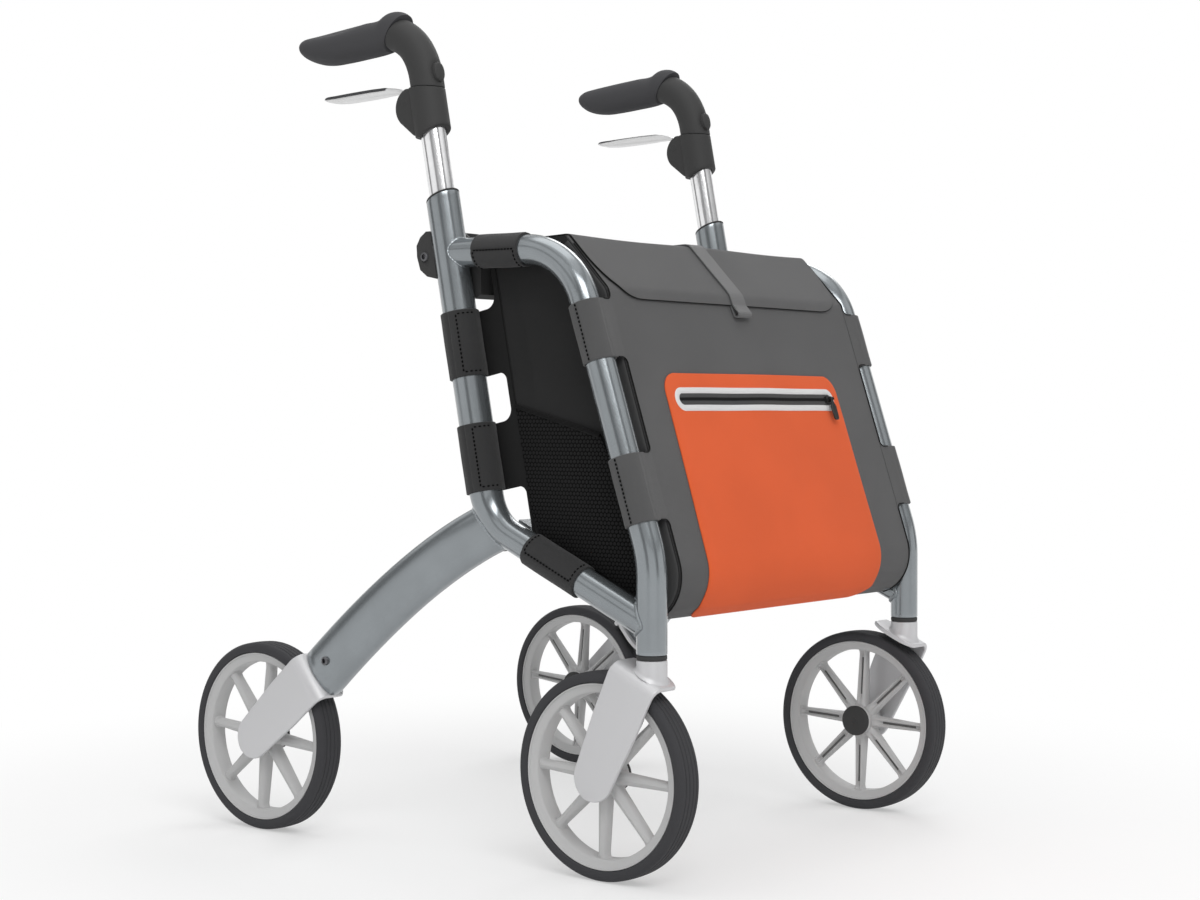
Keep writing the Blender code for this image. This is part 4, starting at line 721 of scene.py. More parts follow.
def saddle(base, direction, small, axis, large):
    """The curve where a small tube leaves a large one whose axis passes its base: on the small
    tube's surface, the distance s along it solves |perpendicular of (w + s d)|^2 = R^2."""
    direction, axis = unit(direction), unit(axis)
    a = np.array([1.0, 0, 0])
    w = small * spokes_round(turns(160), a, np.cross(direction, a))
    w_flat = w - (w @ axis)[:, None] * axis
    d_flat = direction - float(direction @ axis) * axis
    p, q, r = float(d_flat @ d_flat), w_flat @ d_flat, (w_flat ** 2).sum(1) - large ** 2
    s = (-q + np.sqrt(np.maximum(q * q - p * r, 0))) / p
    return base + w + s[:, None] * direction


def leg_weld():
    """The curve on which the leg's lines meet the bent tube's surface."""
    return leg_at(leg_traced(0.0, 120)[None])[0]


def gusset():
    """The bracket for the front crossbar: a block, a floor and two cheeks with a pin."""
    def in_link(outline, low, high, edge=0.0010):
        return block(outline, low, high, (1, 0, 0), FOLD_UP, FOLD_AXIS, (0, *FRONT_PIVOT), edge)
    near = [(-0.2060, -0.0150), (-0.2050, -0.0150), (-0.1850, -0.0125)]
    cheek = near + [(-0.1850, 0.0090), (-0.1900, 0.0110), (-0.2060, 0.0127)]
    return [in_link([(-0.2198, -0.0150), (-0.2049, -0.0150), (-0.2049, 0.0126),
                     (-0.2198, 0.0140)], -0.0112, 0.0112),
            in_link(near + [(-0.1850, -0.0097), (-0.2060, -0.0097)], -0.0112, 0.0112, 0.0004),
            in_link(cheek, 0.0063, 0.0112), in_link(cheek, -0.0112, -0.0063),
            turned([(0.0004, -0.0092), (0.0030, -0.0092), (0.0030, 0.0092), (0.0004, 0.0092)],
                   (-0.195, *FRONT_PIVOT), 20, FOLD_AXIS, ring=False)]


def collar():
    """The plastic collar: a flange over the slanted mouth and a liner down the bore."""
    rows = ((0.0172, -0.0003), (0.0173, -0.0008), (0.0172, -0.0015), (0.0167, -0.0020),
            (0.0145, -0.0020), (0.0138, -0.0016), (0.0136, -0.0008), (0.0136, 0.040),
            (0.0153, 0.040), (0.0153, -0.0003))
    return grid(np.array([mouth_ring(*row) for row in rows]), around=True, ring=True)


def handle_tube():
    """The polished tube, open below."""
    return turned([(0.0115, 0.284), (0.0115, 0), (0.0125, 0), (0.0130, 0.0006), (0.0130, 0.05),
                   (0.0130, 0.12), (0.0130, 0.2), (0.0130, 0.295), (0.0122, 0.295)],
                  (SIDE_X, *up_the_upright(-0.170)), 72, UP)


# Wheels, worked out about the right front one's axle and then set at each corner
def tyre():
    """A ring whose profile is a nearly flat crown with four fine grooves, round shoulders and
    a side wall: r = crown - k x^2 - depth * sum of exp(-((x - g) / w)^2)."""
    x = np.linspace(-0.0100, 0.0100, 53)
    grooves = np.exp(-((x[:, None] - np.array([-0.0078, -0.0028, 0.0028, 0.0078])) / 0.00048) ** 2)
    crown = np.stack([WHEEL_R - 0.0004 * (x / 0.01) ** 2 - 0.0011 * grooves.sum(1), x], 1)
    t = np.linspace(0.12, np.pi / 2, 9)
    shoulder = np.stack([0.0948 + 0.0048 * np.cos(t),
                         0.0100 + (TYRE_HALF - 0.0100) * np.sin(t)], 1)
    wall = np.array([(0.0925, 0.01468), (0.0908, 0.01440), (0.0898, 0.01390), (0.0893, 0.01310)])
    side = np.concatenate([shoulder, wall])
    other = side[::-1] * np.array([1.0, -1.0])
    seat = np.array([(0.0892, 0.0120), (0.0892, 0.0), (0.0892, -0.0120)])
    return turned(np.concatenate([crown, side, seat, other]), steps=144)


def wheel_rim():
    """The rim's ring: a bright lip, a sloped band and a flat barrel."""
    half = np.array([(0.0889, 0.0118), (0.0888, 0.01285), (0.0884, 0.01315), (0.0876, 0.01310),
                     (0.0871, 0.01260), (0.0869, 0.01180), (0.0862, 0.01135), (0.0822, 0.01010),
                     (0.0803, 0.00960), (0.0795, 0.00900), (0.0791, 0.00800)])
    barrel = [(0.0791, 0.003), (0.0791, -0.003)]
    return turned(np.concatenate([half, barrel, half[::-1] * np.array([1.0, -1.0])]), steps=144)


def wheel_hub():
    """The hub about its bore, with a low flange inboard."""
    return turned([(0.0043, -0.01535), (0.0110, -0.01535), (0.0118, -0.0150), (0.0122, -0.0140),
                   (0.0150, -0.0136), (0.0162, -0.0130), (0.0165, -0.0120), (0.0165, 0.0100),
                   (0.0170, 0.0108), (0.0170, 0.0122), (0.0165, 0.01300), (0.0155, 0.01315),
                   (0.0043, 0.01315)])


def spokes(phase, count=8):
    """Tapered spokes: ovals along each radius, wide at the hub and flared into the rim; the
    inboard face is sunk by depth / (1 + (t / w)^6), a slot along the middle with a thin
    sheet of painted shade in it, and the outboard face has a low ridge."""
    r = np.concatenate([np.linspace(0.0140, 0.0740, 17), np.linspace(0.0755, 0.0803, 6)])
    run = (r - 0.0165) / (0.0791 - 0.0165)
    flare = 0.0026 * np.clip((r - 0.0735) / 0.0060, 0, 1) ** 2
    root = 0.0020 * np.clip((0.0215 - r) / 0.0050, 0, 1) ** 2
    wide = 0.0062 + (0.0042 - 0.0062) * np.clip(run, 0, 1) + flare + root
    deep = 0.0078 + (0.0064 - 0.0078) * np.clip(run, 0, 1)
    ring = oval_ring(wide, deep, 2.7)
    t, axial = ring[..., 0], ring[..., 1]
    ends = np.clip((run - 0.06) / 0.12, 0, 1) * np.clip((1.02 - run) / 0.10, 0, 1)
    slot = 0.0044 * ends[:, None] / (1 + (t / 0.0019) ** 6)
    axial = np.where(axial > 0, axial - slot, axial)
    ridge = 0.0009 * ends[:, None] * np.exp(-(t / 0.0012) ** 2)
    axial = np.where(axial < -0.003, axial - ridge, axial)
    shells = []
    for k in range(count):
        turn = 2 * math.pi * k / count + math.radians(phase)
        out = np.array([0.0, math.sin(turn), math.cos(turn)])
        along = np.array([0.0, math.cos(turn), -math.sin(turn)])
        points = (r[:, None, None] * out + t[..., None] * along
                  + axial[..., None] * np.array([1.0, 0, 0]))
        shells.append(grid(points, around=True))
        # A thin near-black sheet in each slot: painted shade, since the spoke is the same silver
        # there
        slot_shade_radii = r[4:16]
        place = slot_shade_radii[:, None, None] * out + np.linspace(-0.0012, 0.0012, 3)[None, :, None] * along
        level = (deep[4:16] - 0.0041)[:, None, None] * np.array([1.0, 0, 0])
        shells.append(cloth(place + level, 0.0004, 1))
    return shells


def hub_cap():
    """A low domed cap with a dimple at its centre."""
    return turned([(0.0165, 0.01345), (0.0167, 0.0150), (0.0165, 0.0165), (0.0157, 0.0174),
                   (0.0135, 0.0180), (0.0090, 0.01835), (0.0048, 0.01845), (0.0036, 0.01835),
                   (0.0030, 0.0178), (0.0006, 0.0176)], ring=False)


def set_at(shells, place):
    for shell in shells:
        shell.points = shell.points + np.array(place, float)
    return shells


# Forks
def strip_section(half_wide, half_thick, radius, steps=4):
    """A rounded rectangle per row: corner arcs of a radius no larger than its half widths."""
    radius = np.minimum(radius, 0.92 * np.minimum(half_wide, half_thick))[:, None]
    t = np.linspace(0, np.pi / 2, steps + 1)
    parts = []
    for k, (sa, sb) in enumerate(((1, 1), (-1, 1), (-1, -1), (1, -1))):
        turn = t + k * np.pi / 2
        parts.append(np.stack([sa * (half_wide[:, None] - radius) + radius * np.cos(turn),
                               sb * (half_thick[:, None] - radius) + radius * np.sin(turn)], -1))
    return np.concatenate(parts, 1)


def fork_strip(axle, angle, x):
    """The fork's strip: a rounded rectangle carried up past the wheel, round a bend and over
    the tyre. Its half width follows the round end sqrt(R^2 - b^2), then widens evenly, and
    its inboard corners are arcs of 30 mm."""
    up = np.array([0.0, -math.cos(angle), math.sin(angle)])
    across = np.array([0.0, -math.sin(angle), -math.cos(angle)])
    middle, bend = FORK_IN + FORK_THICK / 2, 0.0130 - FORK_THICK / 2
    top = FORK_REACH - FORK_THICK / 2
    t = np.linspace(0.06, np.pi / 2, 18)
    end = np.stack([np.full(18, middle), -0.023 * np.cos(t)], 1)
    rise = np.stack([np.full(16, middle), np.linspace(0.004, top - bend, 16)], 1)
    t = np.linspace(0, np.pi / 2, 15)[1:]
    turn = np.stack([middle - bend + bend * np.cos(t), top - bend + bend * np.sin(t)], 1)
    q = -0.0185 + 0.0185 * 2 * (1 - np.sin(np.linspace(0, np.pi / 2, 20))) * 0.55
    q = q[q < middle - bend - 0.001]
    line = np.concatenate([end, rise, turn, np.stack([q, np.full(len(q), top)], 1)])
    c, b = line[:, 0], line[:, 1]
    half = np.where(b < 0, np.sqrt(np.maximum(0.023 ** 2 - b * b, 1e-7)),
                    np.interp(b, [0, 0.060, 0.1125], [0.023, 0.0270, 0.0280]))
    inboard = np.maximum(-c + 0.0115, 0)
    half = np.where(b > 0.09, np.minimum(half, 0.008 + np.sqrt(np.maximum(
        0.030 ** 2 - np.where(-c > -0.0115, inboard, 0) ** 2, 1e-7))), half)
    centre = (np.array([x, *axle]) + c[:, None] * np.array([-1.0, 0, 0]) + b[:, None] * up)
    section = strip_section(half, np.full(len(line), FORK_THICK / 2), np.full(len(line), 0.0016))
    return grid(sweep(centre, section, side=across), around=True)


def axle_boss(axle, x):
    """The spacer between the blade and the hub, and the axle's end in the hub."""
    return [turned([(0.0042, -FORK_IN - 0.002), (0.0078, -FORK_IN - 0.002), (0.0078, -0.0172),
                    (0.0066, -0.0159), (0.0042, -0.0158)], (x, *axle), 32),
            turned([(0.0040, -FORK_IN - 0.001), (0.0040, 0.0106), (0.0004, 0.0108)],
                   (x, *axle), 24, ring=False)]


def stem_sleeve():
    """The caster's sleeve on its slanted plate: circles whose foot lies in the plate's plane
    and spreads into a fillet, with the spindle above it."""
    c, s = np.cos(turns(56)), np.sin(turns(56))
    rows = []
    for radius, lift in ((0.0174, -0.0010), (0.0168, 0.0002), (0.0158, 0.0010), (0.0150, 0.0024),
                         (0.0147, 0.0044)):
        y = STEM_Y + radius * s
        z = WHEEL_R + (FORK_REACH + lift + (y - AXLE_FRONT[0]) * math.cos(FRONT_FORK)) \
            / math.sin(FRONT_FORK)
        rows.append(np.stack([SIDE_X + radius * c, y, z], -1))
    for radius, z in ((0.0147, 0.2126), (0.0145, 0.2136), (0.0139, 0.2140), (0.0080, 0.2140),
                      (0.0080, 0.2660), (0.0074, 0.2670)):
        rows.append(np.stack([SIDE_X + radius * c, STEM_Y + radius * s, np.full(56, z)], -1))
    return grid(np.array(rows), around=True)


def swivel_ring():
    """The black ring between the sleeve and the stem, and the bearing inside the stem."""
    return turned([(0.0083, 0.2143), (0.0138, 0.2143), (0.0144, 0.2149), (0.0145, 0.2165),
                   (0.0144, 0.2181), (0.0138, 0.2187), (0.0109, 0.2187), (0.0109, 0.2330),
                   (0.0083, 0.2330)], (SIDE_X, STEM_Y, 0), direction=(0, 0, 1))


def shoe_lugs():
    """Two small lugs under the rear fork's plate, each a square top with a round foot, and
    the pin between them that carries the brake shoe."""
    up, across = LEG_UP, np.array([0.0, -LEG_UP[2], LEG_UP[1]])
    t = np.linspace(0, -np.pi, 13)
    foot = np.stack([-0.0200 + 0.0030 * np.cos(t), 0.1042 + 0.0030 * np.sin(t)], 1)
    outline = np.concatenate([foot, [(-0.0230, 0.1086), (-0.0170, 0.1086)]])
    shells = [block(outline, low, low + 0.0030, across, up, (-1, 0, 0), (REAR_X, *AXLE_REAR),
                    0.0005) for low in (0.0111, -0.0141)]
    hinge = np.array([REAR_X, *AXLE_REAR]) - 0.0200 * across + 0.1042 * up
    return shells + [turned([(0.0002, -0.0131), (0.0015, -0.0131), (0.0015, 0.0131),
                             (0.0002, 0.0131)], hinge, 20, ring=False)]


def leg_screw():
    """A socket screw: a rounded head with a round socket sunk in it."""
    t = 0.93
    place = (1 - t) ** 2 * LEG_START + 2 * t * (1 - t) * LEG_KNEE + t ** 2 * LEG_END
    return turned([(0.0046, -0.0010), (0.0047, 0.0006), (0.0044, 0.0016), (0.0036, 0.0022),
                   (0.0026, 0.0023), (0.0024, 0.0021), (0.0022, 0.0004), (0.0004, 0.0002)],
                  place + np.array([-0.0153, 0, 0]), 30, (-1, 0, 0), ring=False)


# Handles
NECK_PATH = [(0.0138, 0.7680), (0.0156, 0.7800), (0.0190, 0.7945), (0.0260, 0.8096),
             (0.0345, 0.8205), (0.0455, 0.8290), (0.0562, 0.8344), (0.0645, 0.8400)]
SEAM_AT = np.array([SIDE_X, 0.0562, 0.8344])
SEAM_UP = np.array([0.0, math.cos(math.radians(33.9)), math.sin(math.radians(33.9))])
SEAM_Z = 0.7755
DISC = (0.0280, 0.7560)
LEVER_PIVOT = (SIDE_X, 0.0372, 0.7615)
GRIP_RINGS = np.array([(0.0434, 0.8538, 0.0680, 0.8178, 0.0174, 0.0174),
                       (0.0515, 0.8572, 0.0694, 0.8174, 0.0186, 0.0186),
                       (0.0620, 0.8578, 0.0735, 0.8165, 0.0188, 0.0188),
                       (0.0740, 0.8528, 0.0800, 0.8156, 0.0174, 0.0180),
                       (0.1000, 0.8506, 0.1020, 0.8141, 0.0166, 0.0196),
                       (0.1300, 0.8484, 0.1300, 0.8127, 0.0160, 0.0238),
                       (0.1530, 0.8464, 0.1530, 0.8127, 0.0158, 0.0270),
                       (0.1690, 0.8448, 0.1675, 0.8150, 0.0156, 0.0272),
                       (0.1800, 0.8432, 0.1775, 0.8186, 0.0140, 0.0240),
                       (0.1875, 0.8396, 0.1850, 0.8236, 0.0104, 0.0170),
                       (0.1908, 0.8352, 0.1898, 0.8290, 0.0050, 0.0080)])
LEVER_STATIONS = np.array([(0.0396, 0.7640, 0.0024, 0.0040), (0.0440, 0.7696, 0.0024, 0.0040),
                           (0.0510, 0.7744, 0.0026, 0.0046), (0.0620, 0.7762, 0.0036, 0.0060),
                           (0.0820, 0.7762, 0.0043, 0.0084), (0.1100, 0.7756, 0.0043, 0.0100),
                           (0.1400, 0.7752, 0.0036, 0.0100), (0.1540, 0.7758, 0.0024, 0.0094),
                           (0.1590, 0.7764, 0.0012, 0.0066)])
BUTTON_OUT = np.array([0.0, -COS_L, SIN_L])
BUTTON_AT = np.array([SIDE_X, 0.0166, 0.7875]) + BUTTON_OUT * NECK_R


def handle_neck():
    """The curved neck: circles along a smooth path, the first slid onto the level seam with
    the housing and the last onto the slanted seam with the grip; round the button the
    surface sinks by depth * exp(-d^4), a moulded recess."""
    path = through(NECK_PATH, 200)
    path = path[(path[:, 1] > SEAM_Z + 0.0004) & (((path - SEAM_AT[1:]) @ SEAM_UP[1:]) < -0.0004)]
    path = in_plane(evenly(path, 84), SIDE_X)
    rows = sweep(path, circle(NECK_R, 80))
    low = onto_plane(rows[0], path[1] - path[0], np.array([SIDE_X, 0, SEAM_Z + 0.0004]),
                     np.array([0, 0, 1.0])) - rows[0]
    high = onto_plane(rows[-1], path[-1] - path[-2], SEAM_AT - SEAM_UP * 0.0003,
                      SEAM_UP) - rows[-1]
    k = np.arange(84)[:, None, None]
    rows = rows + np.clip(1 - k / 16, 0, 1) * low + np.clip(1 - (83 - k) / 26, 0, 1) * high
    away = rows - BUTTON_AT
    u, v = away[..., 0] / 0.0092, away @ np.array([0.0, SIN_L, COS_L]) / 0.0124
    near = np.exp(-(u * u + v * v) ** 3) * ((away @ BUTTON_OUT) > -0.008)
    rows = rows - (0.0012 * near)[..., None] * BUTTON_OUT
    centre0, centre1 = rows[0].mean(0), rows[-1].mean(0)
    lip = [centre0 + (rows[0] - centre0) * 0.955 - [0, 0, 0.0001],
           centre0 + (rows[0] - centre0) * 0.985 + [0, 0, 0.0001]]
    rim = [centre1 + (rows[-1] - centre1) * 0.985, centre1 + (rows[-1] - centre1) * 0.95]
    return grid(np.concatenate([np.array(lip), rows[1:-1], np.array(rim)]), around=True)


def release_button():
    """An oval button: superellipses that shrink towards a crowned face."""
    rows = []
    for scale, lift in ((1.0, -0.0066), (1.0, 0.0006), (0.97, 0.0014), (0.90, 0.0020),
                        (0.76, 0.0024), (0.40, 0.0026), (0.05, 0.00262)):
        ring = oval_ring(np.array([0.0070 * scale]), np.array([0.0100 * scale]), 2.2)[0]
        rows.append(BUTTON_AT + ring[:, :1] * np.array([-1.0, 0, 0])
                    + ring[:, 1:] * np.array([0.0, SIN_L, COS_L]) + lift * BUTTON_OUT)
    return grid(np.array(rows), around=True)


def housing_body():
    """The housing's sleeve round the tube: lines up the tube from a foot cut by a plane that
    falls backwards, level behind the tube, to the level seam, with a bore."""
    t = turns(132)
    spoke = spokes_round(t, (1, 0, 0), BACK)
    ref = np.array([SIDE_X, *UPRIGHT_REF])

    def at(radius, distance):
        return ref + radius * spoke + np.asarray(distance)[:, None] * UP

    def foot(radius, extra):
        d = np.full(len(t), 0.085)
        for _ in range(8):
            y = at(radius, d)[:, 1]
            level = np.interp(y, [-0.04, 0.0122, 0.04], [0.7542, 0.7243, 0.7232]) + extra
            d = (level - ref[2] - radius * np.sin(t) * BACK[2]) / COS_L
        return d

    def seam(radius, drop):
        return (SEAM_Z - drop - ref[2] - radius * np.sin(t) * BACK[2]) / COS_L
    outer_foot, outer_top = foot(HOUSING_R, 0.0008), seam(HOUSING_R, 0.0007)
    rows = [at(0.0136, seam(0.0136, 0.0012)), at(0.0136, foot(0.0136, 0.0006)),
            at(0.0142, foot(0.0142, 0.0)), at(0.0178, foot(0.0178, 0.0)),
            at(0.0184, foot(0.0184, 0.0003))]
    for share in np.linspace(0, 1, 16):
        rows.append(at(HOUSING_R, outer_foot * (1 - share) + outer_top * share))
    rows.append(at(0.0182, seam(0.0182, 0.0002)))
    rows.append(at(0.0176, seam(0.0176, 0.0001)))
    return grid(np.array(rows), around=True, ring=True)


def housing_disc():
    """The round cheeks about the lever's pivot and the web under them, the cheeks parted by
    the lever's slot."""
    turn = np.radians(np.linspace(71, -50, 30))
    arc = np.stack([DISC[0] + 0.0205 * np.cos(turn), DISC[1] + 0.0205 * np.sin(turn)], 1)
    low = rounded([arc[-1], (0.0400, 0.7395), (0.0228, 0.7264), (0.0165, 0.7258),
                   (0.0060, 0.7285)], [0, 0.004, 0.006, 0.004, 0], 5)[1:]
    cheek = np.concatenate([[(0.0060, 0.7752), (0.0180, 0.7753)], arc, low])
    under = arc[arc[:, 1] < 0.7530]
    core = np.concatenate([[(0.0060, 0.7752), (0.0287, 0.7752), (0.0287, 0.7530)], under, low])
    axes = ((0, 1, 0), (0, 0, 1), (1, 0, 0), (SIDE_X, 0, 0))
    outline = evenly(np.concatenate([cheek, cheek[:1]]), 120)[:-1]
    return [block(outline, 0.0056, 0.0140, *axes, 0.0003, 0.0028, 5),
            block(outline, -0.0140, -0.0056, *axes, 0.0028, 0.0003, 5),
            block(core, -0.0060, 0.0060, *axes, 0.0002),
            turned([(0.0004, -0.0142), (0.0040, -0.0142), (0.0044, -0.0139), (0.0044, 0.0139),
                    (0.0040, 0.0142), (0.0004, 0.0142)], LEVER_PIVOT, 28, ring=False)]


def palm_grip():
    """The grip: ovals between a top and a bottom line, reaching further outboard than
    inboard, with a shallow dish -depth * (1 - u^2)^2 pressed into the outboard wing's top."""
    rows = through(GRIP_RINGS, 110)
    top, bottom = rows[:, 0:2], rows[:, 2:4]
    middle, reach = (top + bottom) / 2, (top - bottom) / 2
    c, s = np.cos(turns(88)), np.sin(turns(88))
    wide = np.where(c > 0, rows[:, 4:5], rows[:, 5:6])
    flat = np.sign(s) * np.abs(s) ** 0.92
    y = middle[:, :1] + reach[:, :1] * flat
    z = middle[:, 1:] + reach[:, 1:] * flat
    u = np.clip((c + 0.58) / 0.46, -1, 1)
    v = np.clip((middle[:, :1] - 0.138) / 0.045, -1, 1)
    z = z - 0.0030 * np.where(s > 0, (1 - u ** 2) ** 2 * (1 - v ** 2) ** 2, 0)
    points = np.stack([SIDE_X + wide * c, y, z], -1)
    start = points[0].mean(0)
    lip = [start + (points[0] - start) * 0.90 + SEAM_UP * 0.0004,
           start + (points[0] - start) * 0.975 + SEAM_UP * 0.0003]
    return grid(np.concatenate([np.array(lip), points[2:]]), around=True)


def lever_body():
    """The lever's bar: ovals along its stations, and the eye round the pivot."""
    rows = through(LEVER_STATIONS, 90)
    path = in_plane(rows[:, :2], SIDE_X)
    bar = grid(sweep(path, oval_ring(rows[:, 3] * 0.98, rows[:, 2], 3.4)), around=True)
    return [bar, turned([(0.0032, -0.0048), (0.0068, -0.0048), (0.0075, -0.0041), (0.0075, 0.0041),
                         (0.0068, 0.0048), (0.0032, 0.0048)], LEVER_PIVOT, 40)]


def lever_pad():
    """The soft pad over the bar's upper outboard edge: an arc of each oval, raised a little
    and closed underneath, fuller towards the tip."""
    rows = through(LEVER_STATIONS, 90)[24:89]
    path = in_plane(rows[:, :2], SIDE_X)
    n = len(rows)
    run = np.linspace(0, 1, n)
    open_to = np.radians(np.interp(run, [0, 0.55, 0.75, 1.0], [290, 300, 325, 350]))[:, None]
    share = np.linspace(0, 1, 26)
    angle = open_to * (1 - share) + np.radians(np.interp(run, [0, 0.75, 1], [196, 188, 172]))[
        :, None] * share
    taper = np.sqrt(np.clip(run / 0.05, 0.02, 1) * np.clip((1 - run) / 0.03, 0.02, 1))[:, None]

    def shell(grow):
        c, s = np.cos(angle), np.sin(angle)
        bulge = (np.abs(c) ** 3.0 + np.abs(s) ** 3.0) ** (-1 / 3.0)
        return np.stack([(rows[:, 3:4] + grow) * c * bulge, (rows[:, 2:3] + grow) * s * bulge], -1)
    top = sweep(path, shell(0.0007 * taper))
    low = sweep(path, shell(-0.0004))
    return between(top, low)


# Bag
FRONT_LINE = evenly(rounded(BAG_CORNERS[1:], [0, 0.012, 0.045, 0], 40), 1201)
FRONT_RUN = run_of(FRONT_LINE)
FRONT_OUT = unit(np.gradient(FRONT_LINE, axis=0))
FRONT_OUT = np.stack([FRONT_OUT[:, 1], -FRONT_OUT[:, 0]], 1)
FLAT_END = FRONT_RUN[np.argmax(FRONT_LINE[:, 1] < 0.305)]


def run_at(z):
    """Distance down the front line at which its height is z."""
    down = np.argmin(FRONT_LINE[:, 1])
    return np.interp(-np.asarray(z), -FRONT_LINE[:down, 1], FRONT_RUN[:down])


def slack(x, run):
    """How far the front cloth stands from its drawn line: a low belly that fades to its
    edges, two slow ripples, and the crease where it turns under the bag."""
    edge = np.clip(1 - (x / BAG_HALF) ** 2, 0, 1)
    down = np.clip((run - 0.07) / (FLAT_END + 0.03 - 0.07), 0, 1)
    belly = 0.0012 * edge * np.sin(np.pi * down) ** 0.8
    ripple = 0.0005 * edge * np.sin(21 * x + 9 * run) + 0.0004 * edge * np.sin(13 * x - 33 * run)
    crease = 0.0010 * np.minimum(edge * 8, 1) * np.exp(-((run - 0.3960) / 0.0055) ** 2)
    return belly + ripple * np.sin(np.pi * down) + crease


def on_front(x, run, lift):
    """A point of the bag's front: the front line at a distance down it, moved outwards by
    the cloth's slack and a lift."""
    x, run = np.broadcast_arrays(np.asarray(x, float), np.asarray(run, float))
    y = np.interp(run, FRONT_RUN, FRONT_LINE[:, 0])
    z = np.interp(run, FRONT_RUN, FRONT_LINE[:, 1])
    ny = np.interp(run, FRONT_RUN, FRONT_OUT[:, 0])
    nz = np.interp(run, FRONT_RUN, FRONT_OUT[:, 1])
    off = slack(x, run) + lift
    return np.stack([x, y + ny * off, z + nz * off], -1)


def front_panel():
    """The front panel from the top edge, down the front, round the low corner and back under
    the bag: a sheet of two faces a cloth's thickness apart."""
    run = np.concatenate([np.linspace(0, 0.09, 26), np.linspace(0.09, FLAT_END, 60)[1:],
                          np.linspace(FLAT_END, 0.44, 50)[1:],
                          np.linspace(0.44, FRONT_RUN[-1], 30)[1:]])[:, None]
    x = np.linspace(-BAG_HALF, BAG_HALF, 70)[None]
    uv = np.stack(np.broadcast_arrays(x, run), -1)
    return between(on_front(x, run, 0.0), on_front(x, run, -0.0024), 0, uv)


def edge_roll(line, radius, count=10, finish=0):
    """A thin round edging carried along an open line in space."""
    tangent = unit(np.gradient(line, axis=0))
    side = unit(np.cross(tangent, [0.31, 0.52, 0.79]))
    other = np.cross(tangent, side)
    points = line[:, None] + radius * spokes_round(turns(count), side[:, None], other[:, None])
    return grid(points, around=True, finish=finish)


def stitches(line, out, length=0.0026, pitch=0.0040, radius=0.00032):
    """A row of stitches: short capsules laid along a line, one each pitch, each rising in the
    middle by a cosine; every stitch is the same six rings placed by arrays."""
    run = run_of(line)
    count = max(int(run[-1] / pitch), 1)
    start = (np.arange(count) + 0.5) * run[-1] / count
    share = np.linspace(-1, 1, 6)
    at = start[:, None] + share[None] * length / 2
    centre = np.stack([np.interp(at, run, line[:, k]) for k in range(3)], -1)
    normal = np.stack([np.interp(at, run, out[:, k]) for k in range(3)], -1)
    centre = centre + normal * (0.00025 * np.cos(share * np.pi / 2))[None, :, None]
    side = np.cross(unit(centre[:, -1:] - centre[:, :1]), normal)
    thick = radius * np.sqrt(np.clip(1.02 - share ** 2, 0.05, 1))
    rings = centre[:, :, None] + thick[:, None, None] * spokes_round(
        turns(6), side[:, :, None], normal[:, :, None])
    base = (np.arange(count) * 36)[:, None, None]
    quads = (quads_of(6, 6, around=True)[0].reshape(-1, 4) + base).reshape(-1, 4)
    ends = (np.array([[5, 4, 3, 2, 1, 0], [30, 31, 32, 33, 34, 35]]) + base).reshape(-1, 6)
    return Shell(rings.reshape(-1, 3), [quads, ends],
                 [np.zeros((len(quads), 4, 2)), np.zeros((len(ends), 6, 2))])


# Each sleeve: its start and end on the tube, the tube's radius, whether it is the front's grey
# cloth, and the side of the tube to which its rows of stitches turn (0 for none)
SLEEVES = [(on_upright(0.546), on_upright(0.480), UPRIGHT_R, False, -1),
           (on_upright(0.433), on_upright(0.366), UPRIGHT_R, False, -1),
           (np.array((-0.0580, 0.6058)), np.array((-0.1180, 0.6051)), TUBE_R, False, 1),
           (on_front_tube(0.5500), on_front_tube(0.4937), TUBE_R, True, 0),
           (on_front_tube(0.4033), on_front_tube(0.3404), TUBE_R, True, 0),
           (on_lower_tube(-0.125), on_lower_tube(-0.190), TUBE_R, False, -1)]


def sleeve(start, end, radius, finish, turn):
    """A cloth sleeve round a tube: a wall turned about the tube whose radius swells by a few
    low sines, drawn in by a fine groove exp(-((t - pi) / w)^2) where it is stitched."""
    along = unit(end - start)
    across = (turn or 1) * np.array([-along[1], along[0]])
    length = float(np.linalg.norm(end - start))
    t = turns(96)
    d = np.linspace(0, 1, 34)
    wave = 0.00018 * np.sin(3 * t[None] + 5 * d[:, None]) * np.sin(np.pi * d)[:, None]
    outer = radius + 0.0021 + wave - 0.0005 * np.exp(-((t - np.pi) / 0.045) ** 2)
    outer = outer + 0.0004 * np.clip((np.pi + 0.10 - t) / -0.06, 0, 1) * (t < 4.7)
    inner = np.full((1, 96), radius + GAP)
    radii = np.concatenate([inner, outer[:1] - 0.0006, outer, outer[-1:] - 0.0006, inner])
    dist = np.concatenate([[0, 0, 0.0006], d[1:-1] * length, [length - 0.0006, length, length]])
    base = np.array([SIDE_X, *start])
    points = (base + dist[:, None, None] * np.array([0, *along])
              + radii[..., None] * spokes_round(t, (1, 0, 0), (0, *across)))
    return grid(points, around=True, ring=True, finish=finish)


def flare(reach, radius):
    """How much a strip's end has spread after coming within one radius of a corner: a
    quarter round, radius - sqrt(radius^2 - reach^2)."""
    reach = np.clip(reach, 0, radius)
    return radius - np.sqrt(radius ** 2 - reach ** 2)


def tube_tab(start, end):
    """The flat cloth from the top or lower tube's sleeve to the side panel's edge."""
    along = unit(end - start)
    across = np.array([-along[1], along[0]])
    q = np.linspace(-0.004, 0.0085, 12)[:, None, None]
    s = np.linspace(0.01, 0.99, 20)[None, :, None]
    place = start + s * (end - start) + q * across
    x = np.interp(q[..., 0], [0.0, 0.0085], [SIDE_X + TUBE_R + 0.0012, PANEL_X])
    # Finish 3 is the side cloth painted darker as shade
    return cloth(in_plane(place, x), 0.0022, 3)


FRONTWARD = np.array([-COS_L, SIN_L])


